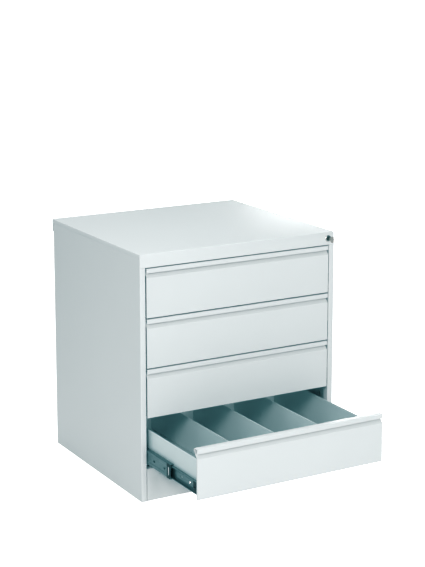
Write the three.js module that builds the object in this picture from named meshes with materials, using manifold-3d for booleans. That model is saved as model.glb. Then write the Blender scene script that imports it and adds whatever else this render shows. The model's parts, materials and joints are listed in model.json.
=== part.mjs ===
// Four-drawer steel card file cabinet: a folded sheet body with a flush lid, drawers with three
// lengthwise dividers, telescopic ball slides and a central lock.
// Millimetres, +Z up. The origin is the centre of the body's footprint on the floor, and the
// drawers open towards -Y.

import * as THREE from 'three';
import { mergeVertices } from 'three/addons/utils/BufferGeometryUtils.js';
import Module from 'manifold-3d';

// ---- Driving dimensions -------------------------------------------------------------------

const WIDTH = 675;
const DEPTH = 607; // body, without the lid's overhang at the back
const HEIGHT = 750;
const HEADER = 40; // lid's front band above the top drawer
const PLINTH = 100;
const DRAWERS = 4;
const DIVIDERS = 3; // in each drawer
const BOTTOM_DRAWER_PULL = 298; // how far the lowest drawer stands open

const SHEET = 1; // body and drawer sheet
const FOLD_RADIUS = 1.5; // inside radius of a fold
const FOLD_STEPS = 3; // facets in a right-angle fold
const SEAM = 0.4; // gap between fixed neighbours
const GRID = 1 / 1024; // exact in 32-bit numbers
const REVEAL = 3.5; // gap round each drawer front

const REAR_OVERHANG = 8;
const LID_SIDE = 12;
const LID_CORNER = 4; // how far the lid's bands wrap round onto the sides
const LID_RETURN = 18;
const REAR_RETURN = 6;

const POST_WIDTH = 18;
const POST_DEPTH = 22;
const POST_LIP = 8;
const POST_EDGE = 4; // strip of the post's return left in front of each slide window
const WINDOW_CLEARANCE = 2;
const REAR_FLANGE = 20;
const JOGGLE_DROP = 16; // how far the lid's seat reaches down inside the side panel
const LID_SEAT = 15;
const LID_SEAT_SETBACK = 30;
const PAN_FLANGE = 15;
const BACK_FLANGE = 12;
const BACK_TOP_GAP = 3;

const UPRIGHT_WIDTH = 40;
const UPRIGHT_SHEET = 1.5;
const UPRIGHT_SETBACK = 28; // front upright's face behind the body's front
const UPRIGHT_REAR_SETBACK = 90;
const UPRIGHT_SLOT = { width: 5, height: 12, pitch: 25 };

const SLIDE_THICKNESS = 15.5;
const SLIDE_POST_CLEARANCE = 0.6; // between a moving member and the post it runs past
const SLIDE_HEIGHT = 53; // cabinet member
const SLIDE_SHEET = 1.5;
const SLIDE_RACE = 2.5; // ball gap between the flanges of two members
const SLIDE_WEB_GAP = 1.5; // between the cabinet member's web and the middle member's
const SLIDE_TIP_SPACE = 4.5; // from a flange's tip to the far side of the slide
const SLIDE_CENTRE = 34; // above the front's lower edge
const SLIDE_REAR_SPACE = 52; // behind the slide, inside the body

const FRONT_RETURN = 5; // folded side edges of a drawer front
const FRONT_FOOT = 20; // folded lower edge
const LIP_BAND = 13; // height of the pull's down-turned band
const LIP_MOUTH = 28; // from the front's top down to where the face turns in
const LIP_DEPTH = 20;
const LIP_BACK = 7; // upright strip behind the pull

const TRAY_FLOOR = 6.5; // above the front's lower edge
const TRAY_DROP = 35; // tray wall's top below the front's top
const TRAY_REAR_CLEARANCE = 16;
const HEM_WIDTH = 2.4;
const HEM_HEIGHT = 8;
const DIVIDER_FLANGE = 12;

const LOCK_INSET = 24; // lock's centre from the cabinet's right side
const LOCK_FLANGE_RADIUS = 10;
const LOCK_FLANGE = 2; // thickness
const LOCK_BODY_RADIUS = 8;
const LOCK_BODY_LENGTH = 17; // behind the header's face
const PLUG_RADIUS = 5.5;
const PLUG_PROUD = 1; // plug's face in front of the lock's flange
const TAIL = 5; // side of the plug's square tail
const CAM_RADIUS = 8; // from the plug's axis to the pin
const CAM_SHEET = 2;
const CAM_EDGE = 2; // metal round the pin
const PIN_RADIUS = 1.5;
const KEY_THICKNESS = 2;
const KEY_BLADE = { height: 6, inside: 16, outside: 20 };
const KEY_BOW_RADIUS = 10;
const KEY_HOLE_RADIUS = 3;

const BAR_SHEET = 2;
const BAR_CLEARANCE = 1;
const BAR_HEAD = { reach: 8, below: 6, above: 6.5 }; // round the cam pin's slot
const SLOT_CLEARANCE = 0.7;
const TAB_HEIGHT = 8;
const TAB_REACH = 12; // towards the drawer, from the bar's inner edge
const TAB_RISE = 2; // above the slide
const LUG_RISE = 1.5; // above the bar's tab when unlocked
const LUG_HEIGHT = 6;
const LUG_REACH = 11.5;
const LUG_SHEET = 2;

// ---- Sizes worked out from them -------------------------------------------------------------

const halfWidth = WIDTH / 2;
const frontY = -DEPTH / 2;
const backY = DEPTH / 2;
const headerZ = HEIGHT - HEADER;
const frontHeight = (headerZ - PLINTH - (DRAWERS + 1) * REVEAL) / DRAWERS;
const frontHalfWidth = halfWidth - POST_WIDTH - REVEAL;
const middleBackX = halfWidth - POST_WIDTH - SLIDE_POST_CLEARANCE; // middle member's back
const slideBackX = middleBackX + SLIDE_SHEET + SLIDE_WEB_GAP; // cabinet member's back
const trayHalfWidth = slideBackX - SLIDE_THICKNESS - SEAM;
const slideSetback = FRONT_RETURN + SEAM;
const slideFlange = SLIDE_THICKNESS - SLIDE_TIP_SPACE; // how far a flange stands from its member's back
const slideLength = DEPTH - slideSetback - SLIDE_REAR_SPACE;
const wallTop = frontHeight - TRAY_DROP;
const trayFront = FRONT_RETURN + SEAM; // behind the front's face
const trayBack = DEPTH - TRAY_REAR_CLEARANCE;
const lockX = halfWidth - LOCK_INSET;
const lockZ = HEIGHT - HEADER / 2;
const pinOffset = CAM_RADIUS * Math.SQRT1_2; // the cam turns from 45 degrees below level to 45 above
const barY = frontY + POST_DEPTH + BAR_CLEARANCE;
const camY = frontY + LOCK_BODY_LENGTH + SEAM;
const tabZ = SLIDE_CENTRE + SLIDE_HEIGHT / 2 + TAB_RISE; // above the front's lower edge
const lugZ = tabZ + TAB_HEIGHT + LUG_RISE;

const drawerNumbers = Array.from({ length: DRAWERS }, (_, index) => index + 1); // 1 is the top one
const sides = [['left', -1], ['right', 1]];

function drawerZ(number) {
  return headerZ - number * (frontHeight + REVEAL);
}

function drawerPull(number) {
  return number === DRAWERS ? BOTTOM_DRAWER_PULL : 0;
}

// ---- Finishes -------------------------------------------------------------------------------

const finishes = {
  coat: { color: 0xd9dfe0, roughness: 0.45, metalness: 0 },
  inside_coat: { color: 0xc4d0d2, roughness: 0.5, metalness: 0 },
  galvanised: { color: 0x9fb0b3, roughness: 0.4, metalness: 0.9 },
  chrome: { color: 0xc8c8c8, roughness: 0.2, metalness: 1 },
  key_steel: { color: 0x9a938c, roughness: 0.35, metalness: 0.9 },
};

const part = new THREE.Group();

function addPiece(name, shape, finish, parent = part) {
  const geometry = shape.isBufferGeometry ? shape : toGeometry(shape);
  const mesh = new THREE.Mesh(geometry, new THREE.MeshStandardMaterial(finishes[finish]));
  mesh.name = name;
  parent.add(mesh);
  return mesh;
}

// ---- Shape helpers --------------------------------------------------------------------------

const wasm = await Module();
wasm.setup();

// Corners are snapped to a fine grid, so that faces meant to be flush are exactly flush.
function solid(geometry) {
  const bare = geometry.clone();
  bare.deleteAttribute('normal');
  bare.deleteAttribute('uv');
  const corners = bare.attributes.position.array;
  corners.forEach((value, index) => {
    corners[index] = Math.round(value / GRID) * GRID;
  });
  const merged = mergeVertices(bare);
  return new wasm.Manifold(new wasm.Mesh({
    numProp: 3,
    vertProperties: new Float32Array(merged.attributes.position.array),
    triVerts: new Uint32Array(merged.index.array),
  }));
}

function toGeometry(manifold) {
  const mesh = manifold.getMesh();
  const geometry = new THREE.BufferGeometry();
  geometry.setAttribute('position', new THREE.BufferAttribute(mesh.vertProperties, 3));
  geometry.setIndex(new THREE.BufferAttribute(mesh.triVerts, 1));
  geometry.computeVertexNormals();
  return geometry;
}

function join(first, ...others) {
  return others.reduce((whole, other) => whole.add(other), first);
}

function cut(first, ...cutters) {
  return cutters.reduce((rest, cutter) => rest.subtract(cutter), first);
}

// A box between two limits on each axis.
function block([x0, x1], [y0, y1], [z0, z1]) {
  const box = new THREE.BoxGeometry(Math.abs(x1 - x0), y1 - y0, z1 - z0);
  return solid(box.translate((x0 + x1) / 2, (y0 + y1) / 2, (z0 + z1) / 2));
}

function sweep(shape, length) {
  return new THREE.ExtrudeGeometry(shape, { depth: length, bevelEnabled: false, curveSegments: 8 });
}

// Shape drawn in (y, z).
function sweepX(shape, x0, x1) {
  return solid(sweep(shape, x1 - x0).rotateX(Math.PI / 2).rotateZ(Math.PI / 2).translate(x0, 0, 0));
}

// Shape drawn in (x, z).
function sweepY(shape, y0, y1) {
  return solid(sweep(shape, y1 - y0).rotateX(Math.PI / 2).translate(0, y1, 0));
}

// Shape drawn in (x, y).
function sweepZ(shape, z0, z1) {
  return solid(sweep(shape, z1 - z0).translate(0, 0, z0));
}

// Outline of a sheet folded along a line of points. The sheet lies on the right of the line, and
// every fold has the same inside radius.
function foldedSheet(points, thickness, radius = FOLD_RADIUS) {
  const line = points.map(([u, v]) => new THREE.Vector2(u, v));
  const normals = line.slice(1).map((point, index) => {
    const along = point.clone().sub(line[index]).normalize();
    return new THREE.Vector2(along.y, -along.x);
  });
  const outline = [[line[0], normals[0]]];
  for (let fold = 1; fold < line.length - 1; fold += 1) {
    const normal = normals[fold - 1];
    const turn = Math.atan2(normal.cross(normals[fold]), normal.dot(normals[fold]));
    const lineRadius = turn > 0 ? radius : -(radius + thickness); // negative: centre on the right
    const tangent = Math.abs(lineRadius * Math.tan(turn / 2));
    const along = new THREE.Vector2(-normal.y, normal.x);
    const start = line[fold].clone().addScaledVector(along, -tangent);
    const centre = start.clone().addScaledVector(normal, -lineRadius);
    const steps = Math.max(1, Math.round((FOLD_STEPS * Math.abs(turn)) / (Math.PI / 2)));
    for (let step = 0; step <= steps; step += 1) {
      const facing = normal.clone().rotateAround(new THREE.Vector2(), (turn * step) / steps);
      outline.push([centre.clone().addScaledVector(facing, lineRadius), facing]);
    }
  }
  outline.push([line.at(-1), normals.at(-1)]);
  const far = outline.map(([point, normal]) => point.clone().addScaledVector(normal, thickness));
  return new THREE.Shape([...outline.map(([point]) => point), ...far.reverse()]);
}

// A folded line for the left or right side: the right one is drawn, the left one mirrored.
function sided(side, points) {
  return side > 0 ? points : points.map(([u, v]) => [-u, v]).reverse();
}

function sidedRange(side, low, high) {
  return side > 0 ? [low, high] : [-high, -low];
}

function roundedRectangle([u0, u1], [v0, v1], radius) {
  const shape = new THREE.Shape();
  shape.absarc(u1 - radius, v1 - radius, radius, 0, Math.PI / 2);
  shape.absarc(u0 + radius, v1 - radius, radius, Math.PI / 2, Math.PI);
  shape.absarc(u0 + radius, v0 + radius, radius, Math.PI, 1.5 * Math.PI);
  shape.absarc(u1 - radius, v0 + radius, radius, 1.5 * Math.PI, 2 * Math.PI);
  const corners = shape.curves.length;
  return new THREE.Shape(shape.getPoints(FOLD_STEPS).slice(0, corners * (FOLD_STEPS + 1)));
}

// A box with all its edges rounded.
function roundedBlock(x, y, z, radius) {
  return sweepX(roundedRectangle(y, z, radius), ...x)
    .intersect(sweepY(roundedRectangle(x, z, radius), ...y))
    .intersect(sweepZ(roundedRectangle(x, y, radius), ...z));
}

// A cylinder along Y.
function rod(radius, x, z, [y0, y1]) {
  const cylinder = new THREE.CylinderGeometry(radius, radius, y1 - y0, 24);
  return solid(cylinder.translate(x, (y0 + y1) / 2, z));
}

// ---- Body -----------------------------------------------------------------------------------

function lid() {
  const outerRadius = FOLD_RADIUS + SHEET;
  const rearY = backY + REAR_OVERHANG;
  const below = headerZ - outerRadius * 2;
  const inner = halfWidth - SHEET;
  const shell = cut(
    roundedBlock([-halfWidth, halfWidth], [frontY, rearY], [below, HEIGHT], outerRadius),
    roundedBlock(
      [-inner, inner],
      [frontY + SHEET, rearY - SHEET],
      [below - HEADER, HEIGHT - SHEET],
      FOLD_RADIUS,
    ),
    block([-WIDTH, WIDTH], [-DEPTH, DEPTH], [below - HEADER, headerZ]),
    block(
      [-WIDTH, WIDTH],
      [frontY + LID_CORNER, backY + SEAM],
      [below - HEADER, HEIGHT - LID_SIDE],
    ),
  );
  const returnX = halfWidth - SHEET - SEAM;
  const overlap = SHEET / 2; // how far a joined flange runs into the sheet it stands on
  return cut(
    join(
      shell,
      block([-returnX, returnX], [frontY + overlap, frontY + LID_RETURN], [headerZ, headerZ + SHEET]),
      block([-inner, inner], [rearY - REAR_RETURN, rearY - overlap], [headerZ, headerZ + SHEET]),
    ),
    rod(LOCK_BODY_RADIUS + SEAM, lockX, lockZ, [frontY - SHEET, frontY + 2 * SHEET]),
  );
}

// Side sheet with a box-section post at the front, a flange at the back, windows in the post for
// the slides, and a seat for the lid along the top.
function sidePanel(side) {
  const x = halfWidth;
  const wrap = foldedSheet(
    sided(side, [
      [x - REAR_FLANGE, backY],
      [x, backY],
      [x, frontY],
      [x - POST_WIDTH, frontY],
      [x - POST_WIDTH, frontY + POST_DEPTH],
      [x - POST_WIDTH + POST_LIP, frontY + POST_DEPTH],
    ]),
    SHEET,
  );
  const seatX = x - SHEET - SEAM;
  const seatZ = HEIGHT - SHEET - SEAM;
  const joinX = x - SHEET / 2;
  const panelTop = HEIGHT - LID_SIDE - SEAM;
  const joggleZ = panelTop - 2 * SHEET;
  const seat = foldedSheet(
    sided(side, [
      [seatX - LID_SEAT, seatZ],
      [seatX, seatZ],
      [seatX, panelTop],
      [joinX, joggleZ],
      [joinX, joggleZ - JOGGLE_DROP],
    ]),
    SHEET,
    SHEET / 2,
  );
  const postTop = headerZ - SEAM;
  const boxPost = sidedRange(side, x - POST_WIDTH - SHEET, x - SHEET - SEAM / 2);
  const windows = drawerNumbers.map((number) => {
    const centre = drawerZ(number) + SLIDE_CENTRE;
    const reach = SLIDE_HEIGHT / 2 + WINDOW_CLEARANCE;
    return block(
      boxPost,
      [frontY + POST_EDGE, frontY + POST_DEPTH + SHEET],
      [centre - reach, centre + reach],
    );
  });
  return join(
    cut(
      sweepZ(wrap, 0, panelTop),
      block(boxPost, [frontY - SHEET, frontY + POST_DEPTH + SHEET], [postTop, HEIGHT]),
      block([-WIDTH, WIDTH], [frontY - SHEET, frontY + LID_CORNER + SEAM], [postTop, HEIGHT]),
      ...windows,
    ),
    sweepY(seat, frontY + LID_SEAT_SETBACK, backY - LID_SEAT),
  );
}

function backPanel() {
  const x = halfWidth - 2 * SHEET - FOLD_RADIUS;
  const y = backY - SHEET - SEAM;
  const z = SHEET + SEAM;
  const line = [[y, HEIGHT - SHEET - BACK_TOP_GAP], [y, z], [y - BACK_FLANGE, z]];
  return sweepX(foldedSheet(line, SHEET), -x, x);
}

function bottomPan() {
  const x = halfWidth - SHEET - SEAM;
  const line = [[x, PAN_FLANGE], [x, 0], [-x, 0], [-x, PAN_FLANGE]];
  return sweepY(foldedSheet(line, SHEET), frontY + POST_DEPTH + SEAM, backY - SHEET - FOLD_RADIUS);
}

function plinth() {
  const x = halfWidth - POST_WIDTH - SEAM;
  const depth = POST_DEPTH - SHEET;
  const line = [
    [frontY + depth, 0],
    [frontY, 0],
    [frontY, PLINTH],
    [frontY + depth, PLINTH],
  ];
  return sweepX(foldedSheet(line, SHEET), -x, x);
}

// Slotted channel that carries the slides, open towards the side panel.
function upright(side, y) {
  const panelX = halfWidth - SHEET - SEAM;
  const webX = slideBackX + SEAM;
  const channel = foldedSheet(
    sided(side, [[panelX, y + UPRIGHT_WIDTH], [webX, y + UPRIGHT_WIDTH], [webX, y], [panelX, y]]
      .reverse()),
    UPRIGHT_SHEET,
  );
  const bottom = PAN_FLANGE + SHEET;
  const slots = [];
  const slotX = sidedRange(side, webX - UPRIGHT_SHEET, webX + 2 * UPRIGHT_SHEET);
  const slotY = [
    y + (UPRIGHT_WIDTH - UPRIGHT_SLOT.width) / 2,
    y + (UPRIGHT_WIDTH + UPRIGHT_SLOT.width) / 2,
  ];
  for (let z = bottom + UPRIGHT_SLOT.pitch; z < headerZ - UPRIGHT_SLOT.pitch; z += UPRIGHT_SLOT.pitch) {
    slots.push(block(slotX, slotY, [z, z + UPRIGHT_SLOT.height]));
  }
  return cut(sweepZ(channel, bottom, headerZ - SEAM), ...slots);
}

addPiece('top_cover', lid(), 'coat');
for (const [sideName, side] of sides) {
  addPiece(`${sideName}_side_panel`, sidePanel(side), 'coat');
  addPiece(`front_upright_${sideName}`, upright(side, frontY + UPRIGHT_SETBACK), 'galvanised');
  addPiece(`rear_upright_${sideName}`, upright(side, backY - UPRIGHT_REAR_SETBACK), 'galvanised');
}
addPiece('back_panel', backPanel(), 'coat');
addPiece('bottom_panel', bottomPan(), 'coat');
addPiece('plinth_front', plinth(), 'coat');

// ---- Slides ---------------------------------------------------------------------------------

// A C-section member. Its web's back is at backX, and its flanges stand towards tipX.
function slideMember(side, backX, tipX, height, y) {
  const z = height / 2;
  const line = [[tipX, z], [backX, z], [backX, -z], [tipX, -z]];
  const ordered = backX > tipX ? line.reverse() : line;
  const outline = foldedSheet(sided(side, ordered.reverse()), SLIDE_SHEET);
  return sweepY(outline, y, y + slideLength);
}

const memberStep = 2 * (SLIDE_SHEET + SLIDE_RACE); // from one member's height to the next
const middleHeight = SLIDE_HEIGHT - memberStep;
const innerHeight = middleHeight - memberStep;
const innerBackX = slideBackX - SLIDE_THICKNESS; // the drawer's member has its back on the tray

function addSlides(number) {
  const z = drawerZ(number) + SLIDE_CENTRE;
  const pull = drawerPull(number);
  const closedY = frontY + slideSetback;
  for (const [sideName, side] of sides) {
    const members = [
      ['outer', slideBackX, slideBackX - slideFlange, SLIDE_HEIGHT, closedY],
      ['middle', middleBackX, middleBackX - slideFlange, middleHeight, closedY - pull / 2],
      ['inner', innerBackX, innerBackX + slideFlange - SLIDE_SHEET, innerHeight, closedY - pull],
    ];
    for (const [member, backX, tipX, height, y] of members) {
      const name = `drawer_${number}_slide_${member}_${sideName}`;
      const mesh = addPiece(name, slideMember(side, backX, tipX, height, y), 'galvanised');
      mesh.position.z = z;
    }
  }
}

// ---- Drawers --------------------------------------------------------------------------------
// A drawer's own frame: y = 0 is the front's face, z = 0 its lower edge.

// Face with a foot, folded side edges, and a pull: the face turns in, up and forward again, and
// ends in a down-turned band that the fingers reach behind.
function drawerFront() {
  const top = frontHeight;
  const face = foldedSheet(
    [
      [FRONT_FOOT, 0],
      [0, 0],
      [0, top - LIP_MOUTH],
      [LIP_DEPTH, top - LIP_BACK],
      [LIP_DEPTH, top - SHEET],
      [SHEET, top - SHEET],
      [SHEET, top - LIP_BAND],
    ],
    SHEET,
  );
  const overlap = SHEET / 2;
  const edges = sides.map(([, side]) => block(
    sidedRange(side, frontHalfWidth - SHEET, frontHalfWidth),
    [overlap, FRONT_RETURN],
    [overlap, top - LIP_MOUTH],
  ));
  return join(sweepX(face, -frontHalfWidth, frontHalfWidth), ...edges);
}

// Open box with hemmed walls. A lug on the right wall catches the lock bar's tab.
function tray() {
  const x = trayHalfWidth;
  const section = foldedSheet([[x, wallTop], [x, TRAY_FLOOR], [-x, TRAY_FLOOR], [-x, wallTop]], SHEET);
  const overlap = SHEET / 2;
  const across = [-x + overlap, x - overlap];
  const up = [TRAY_FLOOR + overlap, wallTop];
  const hem = [wallTop - HEM_HEIGHT, wallTop];
  const lugY = POST_DEPTH + BAR_CLEARANCE + BAR_SHEET + BAR_CLEARANCE;
  return join(
    sweepY(section, trayFront, trayBack),
    block(across, [trayFront, trayFront + SHEET], up),
    block(across, [trayBack - SHEET, trayBack], up),
    block(across, [trayFront + overlap, trayFront + HEM_WIDTH], hem),
    block(across, [trayBack - HEM_WIDTH, trayBack - overlap], hem),
    ...sides.map(([, side]) => block(
      sidedRange(side, x - HEM_WIDTH, x - overlap),
      [trayFront + overlap, trayBack - overlap],
      hem,
    )),
    block([x - overlap, x + LUG_REACH], [lugY, lugY + LUG_SHEET], [lugZ, lugZ + LUG_HEIGHT]),
  );
}

// Upright sheet with a flange on the tray's floor and a hemmed top edge.
function divider() {
  const floor = TRAY_FLOOR + SHEET + SEAM;
  const left = -SHEET / 2;
  const section = foldedSheet([[left + DIVIDER_FLANGE, floor], [left, floor], [left, wallTop]], SHEET);
  const ends = [trayFront + HEM_WIDTH + SEAM, trayBack - HEM_WIDTH - SEAM];
  return join(
    sweepY(section, ...ends),
    block([-HEM_WIDTH / 2, HEM_WIDTH / 2], ends, [wallTop - HEM_HEIGHT, wallTop]),
  );
}

function addDrawer(number) {
  const drawer = new THREE.Group();
  drawer.position.set(0, frontY - drawerPull(number), drawerZ(number));
  part.add(drawer);
  addPiece(`drawer_${number}_front`, drawerFront(), 'coat', drawer);
  addPiece(`drawer_${number}_tray`, tray(), 'inside_coat', drawer);
  const spacing = (2 * (trayHalfWidth - SHEET)) / (DIVIDERS + 1);
  for (let index = 1; index <= DIVIDERS; index += 1) {
    const mesh = addPiece(`drawer_${number}_divider_${index}`, divider(), 'inside_coat', drawer);
    mesh.position.x = (index - (DIVIDERS + 1) / 2) * spacing;
  }
}

for (const number of drawerNumbers) {
  addSlides(number);
  addDrawer(number);
}

// ---- Lock -----------------------------------------------------------------------------------

const lockFace = frontY - LOCK_FLANGE - SEAM;
const plugFace = lockFace - PLUG_PROUD;
const tailEnd = camY + CAM_SHEET;

// Flanged sleeve, turned about the lock's axis.
function lockBarrel() {
  const bore = PLUG_RADIUS + SEAM;
  const profile = [
    [bore, lockFace],
    [LOCK_FLANGE_RADIUS, lockFace],
    [LOCK_FLANGE_RADIUS, lockFace + LOCK_FLANGE],
    [LOCK_BODY_RADIUS, lockFace + LOCK_FLANGE],
    [LOCK_BODY_RADIUS, frontY + LOCK_BODY_LENGTH],
    [bore, frontY + LOCK_BODY_LENGTH],
    [bore, lockFace],
  ].map(([radius, y]) => new THREE.Vector2(radius, y));
  return solid(new THREE.LatheGeometry(profile, 24).translate(lockX, 0, lockZ));
}

function lockPlug() {
  const slotHalf = { x: KEY_THICKNESS / 2 + SEAM, z: KEY_BLADE.height / 2 + SEAM };
  return cut(
    join(
      rod(PLUG_RADIUS, lockX, lockZ, [plugFace, frontY + LOCK_BODY_LENGTH]),
      block(
        [lockX - TAIL / 2, lockX + TAIL / 2],
        [frontY + LOCK_BODY_LENGTH - SEAM, tailEnd],
        [lockZ - TAIL / 2, lockZ + TAIL / 2],
      ),
    ),
    block(
      [lockX - slotHalf.x, lockX + slotHalf.x],
      [plugFace - SEAM, frontY + LOCK_BODY_LENGTH - SHEET],
      [lockZ - slotHalf.z, lockZ + slotHalf.z],
    ),
  );
}

// Rounded arm on the plug's tail, with a pin that works in the bar's slot.
function lockCam() {
  const edge = PIN_RADIUS + CAM_EDGE;
  const hub = TAIL / 2 + SEAM + CAM_EDGE;
  const arm = new THREE.Shape();
  arm.absarc(0, 0, hub * Math.SQRT2, Math.PI / 2, 1.5 * Math.PI);
  arm.absarc(CAM_RADIUS, 0, edge, -Math.PI / 2, Math.PI / 2);
  const plate = sweep(arm, CAM_SHEET).rotateX(Math.PI / 2).rotateY(Math.PI / 4);
  const pinX = lockX + pinOffset;
  const pinZ = lockZ - pinOffset;
  const hole = TAIL / 2 + SEAM;
  return join(
    cut(
      solid(plate.translate(lockX, camY + CAM_SHEET, lockZ)),
      block([lockX - hole, lockX + hole], [camY - SHEET, tailEnd + SHEET], [lockZ - hole, lockZ + hole]),
    ),
    rod(PIN_RADIUS, pinX, pinZ, [camY + CAM_SHEET / 2, barY + BAR_SHEET + BAR_CLEARANCE]),
  );
}

function key() {
  const bowY = plugFace - KEY_BLADE.outside;
  const outline = new THREE.Shape();
  const half = KEY_BLADE.height / 2;
  const shoulder = Math.asin(half / KEY_BOW_RADIUS);
  outline.absarc(bowY, lockZ, KEY_BOW_RADIUS, shoulder, 2 * Math.PI - shoulder);
  outline.lineTo(plugFace + KEY_BLADE.inside, lockZ - half);
  outline.lineTo(plugFace + KEY_BLADE.inside, lockZ + half);
  const ring = new THREE.Path();
  ring.absarc(bowY - KEY_BOW_RADIUS / 2, lockZ, KEY_HOLE_RADIUS, 0, 2 * Math.PI);
  outline.holes.push(ring);
  return sweepX(outline, lockX - KEY_THICKNESS / 2, lockX + KEY_THICKNESS / 2);
}

// Flat bar behind the right post. Its tabs stand below the drawers' lugs, and in front of them
// once the cam has lifted it.
function lockBar() {
  const outerX = halfWidth - SHEET - BAR_CLEARANCE;
  const innerX = slideBackX + BAR_CLEARANCE;
  const pinZ = lockZ - pinOffset;
  const y = [barY, barY + BAR_SHEET];
  const slotReach = PIN_RADIUS + SLOT_CLEARANCE;
  const tabs = drawerNumbers.map((number) => {
    const z = drawerZ(number) + tabZ;
    return block([innerX - TAB_REACH, outerX], y, [z, z + TAB_HEIGHT]);
  });
  return cut(
    join(
      block([innerX, outerX], y, [drawerZ(DRAWERS) + SLIDE_CENTRE, pinZ + BAR_HEAD.above]),
      block(
        [lockX + pinOffset - BAR_HEAD.reach, outerX],
        y,
        [pinZ - BAR_HEAD.below, pinZ + BAR_HEAD.above],
      ),
      ...tabs,
    ),
    block(
      [lockX + pinOffset - slotReach, lockX + CAM_RADIUS + slotReach],
      [barY - SHEET, barY + BAR_SHEET + SHEET],
      [pinZ - slotReach, pinZ + slotReach],
    ),
  );
}

addPiece('lock_barrel', lockBarrel(), 'chrome');
addPiece('lock_plug', lockPlug(), 'chrome');
addPiece('lock_cam', lockCam(), 'galvanised');
addPiece('key', key(), 'key_steel');
addPiece('lock_bar', lockBar(), 'galvanised');

export default part;
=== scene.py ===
"""Card file cabinet: sheet-metal shells, card trays, ball slides, lock and fasteners, made round the
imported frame. Laid out as an add-on and run as a script."""

import json
import math

import bmesh
import bpy
from bpy.props import FloatProperty, FloatVectorProperty, IntProperty, PointerProperty
from mathutils import Euler, Matrix, Vector

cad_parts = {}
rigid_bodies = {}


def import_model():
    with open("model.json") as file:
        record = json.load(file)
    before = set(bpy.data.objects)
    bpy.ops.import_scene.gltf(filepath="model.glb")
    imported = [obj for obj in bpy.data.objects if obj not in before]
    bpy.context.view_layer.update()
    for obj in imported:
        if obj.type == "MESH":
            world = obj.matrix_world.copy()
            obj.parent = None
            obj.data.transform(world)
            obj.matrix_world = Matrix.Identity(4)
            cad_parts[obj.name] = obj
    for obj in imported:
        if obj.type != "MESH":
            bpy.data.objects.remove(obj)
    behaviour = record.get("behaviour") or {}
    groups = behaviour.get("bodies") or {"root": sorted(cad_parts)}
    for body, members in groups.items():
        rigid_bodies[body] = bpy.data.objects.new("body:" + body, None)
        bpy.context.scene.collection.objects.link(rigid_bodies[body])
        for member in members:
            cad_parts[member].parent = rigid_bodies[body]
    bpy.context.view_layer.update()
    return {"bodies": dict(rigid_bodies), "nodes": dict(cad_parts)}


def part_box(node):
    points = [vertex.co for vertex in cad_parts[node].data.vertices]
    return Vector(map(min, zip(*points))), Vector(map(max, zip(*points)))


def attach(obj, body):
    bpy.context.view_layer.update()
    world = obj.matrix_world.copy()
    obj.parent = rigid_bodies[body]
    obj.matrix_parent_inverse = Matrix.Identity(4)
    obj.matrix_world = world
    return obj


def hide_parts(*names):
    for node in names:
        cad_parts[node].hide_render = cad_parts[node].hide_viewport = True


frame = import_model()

bl_info = {
    "name": "Card File Cabinet",
    "version": (1, 0, 0),
    "blender": (4, 5, 0),
    "location": "3D View > Sidebar > Cabinet",
    "description": "Builds a folded-sheet card file cabinet with telescopic drawers",
    "category": "Object",
}

SIDES = (("left", -1), ("right", 1))
DRAWERS = sorted(b for b in frame["bodies"] if b.startswith("drawer_") and not b.endswith("_slides"))


# ---- Sizes and colours a user would change ----------------------------------------------------


def length(name, description, default):
    return FloatProperty(name=name, description=description, default=default, unit="LENGTH", precision=5)


def colour(name, description, default):
    return FloatVectorProperty(
        name=name, description=description, default=default, subtype="COLOR", size=3, min=0, max=1
    )


class SheetSizes(bpy.types.PropertyGroup):
    """Sheet, folds and hems of the body and the drawers."""

    sheet: length("Sheet", "Thickness of the body and drawer sheet", 0.001)
    fold: length("Fold radius", "Inside radius of a fold", 0.0015)
    fold_steps: IntProperty(name="Fold steps", description="Facets in a right-angle fold", default=7)
    soft_edge: length("Soft edge", "Rounding of cut and painted edges", 0.00022)
    seam: length("Seam", "Gap between fixed neighbours", 0.0004)
    lid_side: length("Lid sides", "Height of the lid's side edges", 0.012)
    lid_wrap: length("Lid wrap", "How far the lid's bands wrap round the corners", 0.004)
    front_return: length("Front return", "Depth of the return behind the lid's front band", 0.018)
    rear_return: length("Rear return", "Depth of the return behind the lid's rear band", 0.006)
    seat_ledge: length("Seat ledge", "Width of the ledge that the lid rests on", 0.015)
    seat_foot: length("Seat foot", "Height of the ledge's foot on the side sheet", 0.016)
    seat_start: length("Seat start", "From the front of the side to the seat", 0.030)
    seat_end: length("Seat end", "From the seat to the back of the side", 0.015)
    post: length("Post width", "Width of the front posts", 0.018)
    post_depth: length("Post depth", "Depth of the front posts", 0.022)
    post_lip: length("Post lip", "Folded inner lip of a post", 0.008)
    rear_flange: length("Rear flange", "Width of the side panel's rear flange", 0.020)
    window: length("Slide window", "Half height of the opening for a slide", 0.0285)
    window_edge: length("Window edge", "From the front of the post to the opening", 0.004)


class FrontSizes(bpy.types.PropertyGroup):
    """Drawer fronts and their finger pulls."""

    mouth: length("Pull mouth", "From the front's top down to where the face turns in", 0.028)
    band: length("Pull band", "Height of the down-turned band", 0.013)
    back: length("Pull back", "Upright strip behind the pull", 0.007)
    edge: length("Side edge", "Depth of the folded side edges", 0.005)


class TraySizes(bpy.types.PropertyGroup):
    """Hems of the card trays and dividers."""

    hem_width: length("Hem width", "Width over a folded hem", 0.0024)
    hem_height: length("Hem height", "Height of a folded hem", 0.008)
    flange: length("Divider flange", "Width of a divider's flange on the floor", 0.012)
    lug_gap: length("Lug gap", "Space between the lock bar and a tray's lug", 0.003)
    lug_sheet: length("Lug sheet", "Thickness of a lug", 0.002)
    lug_rise: length("Lug rise", "From the top of the slide to the lug", 0.0115)
    lug_height: length("Lug height", "Height of a lug", 0.006)


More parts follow.
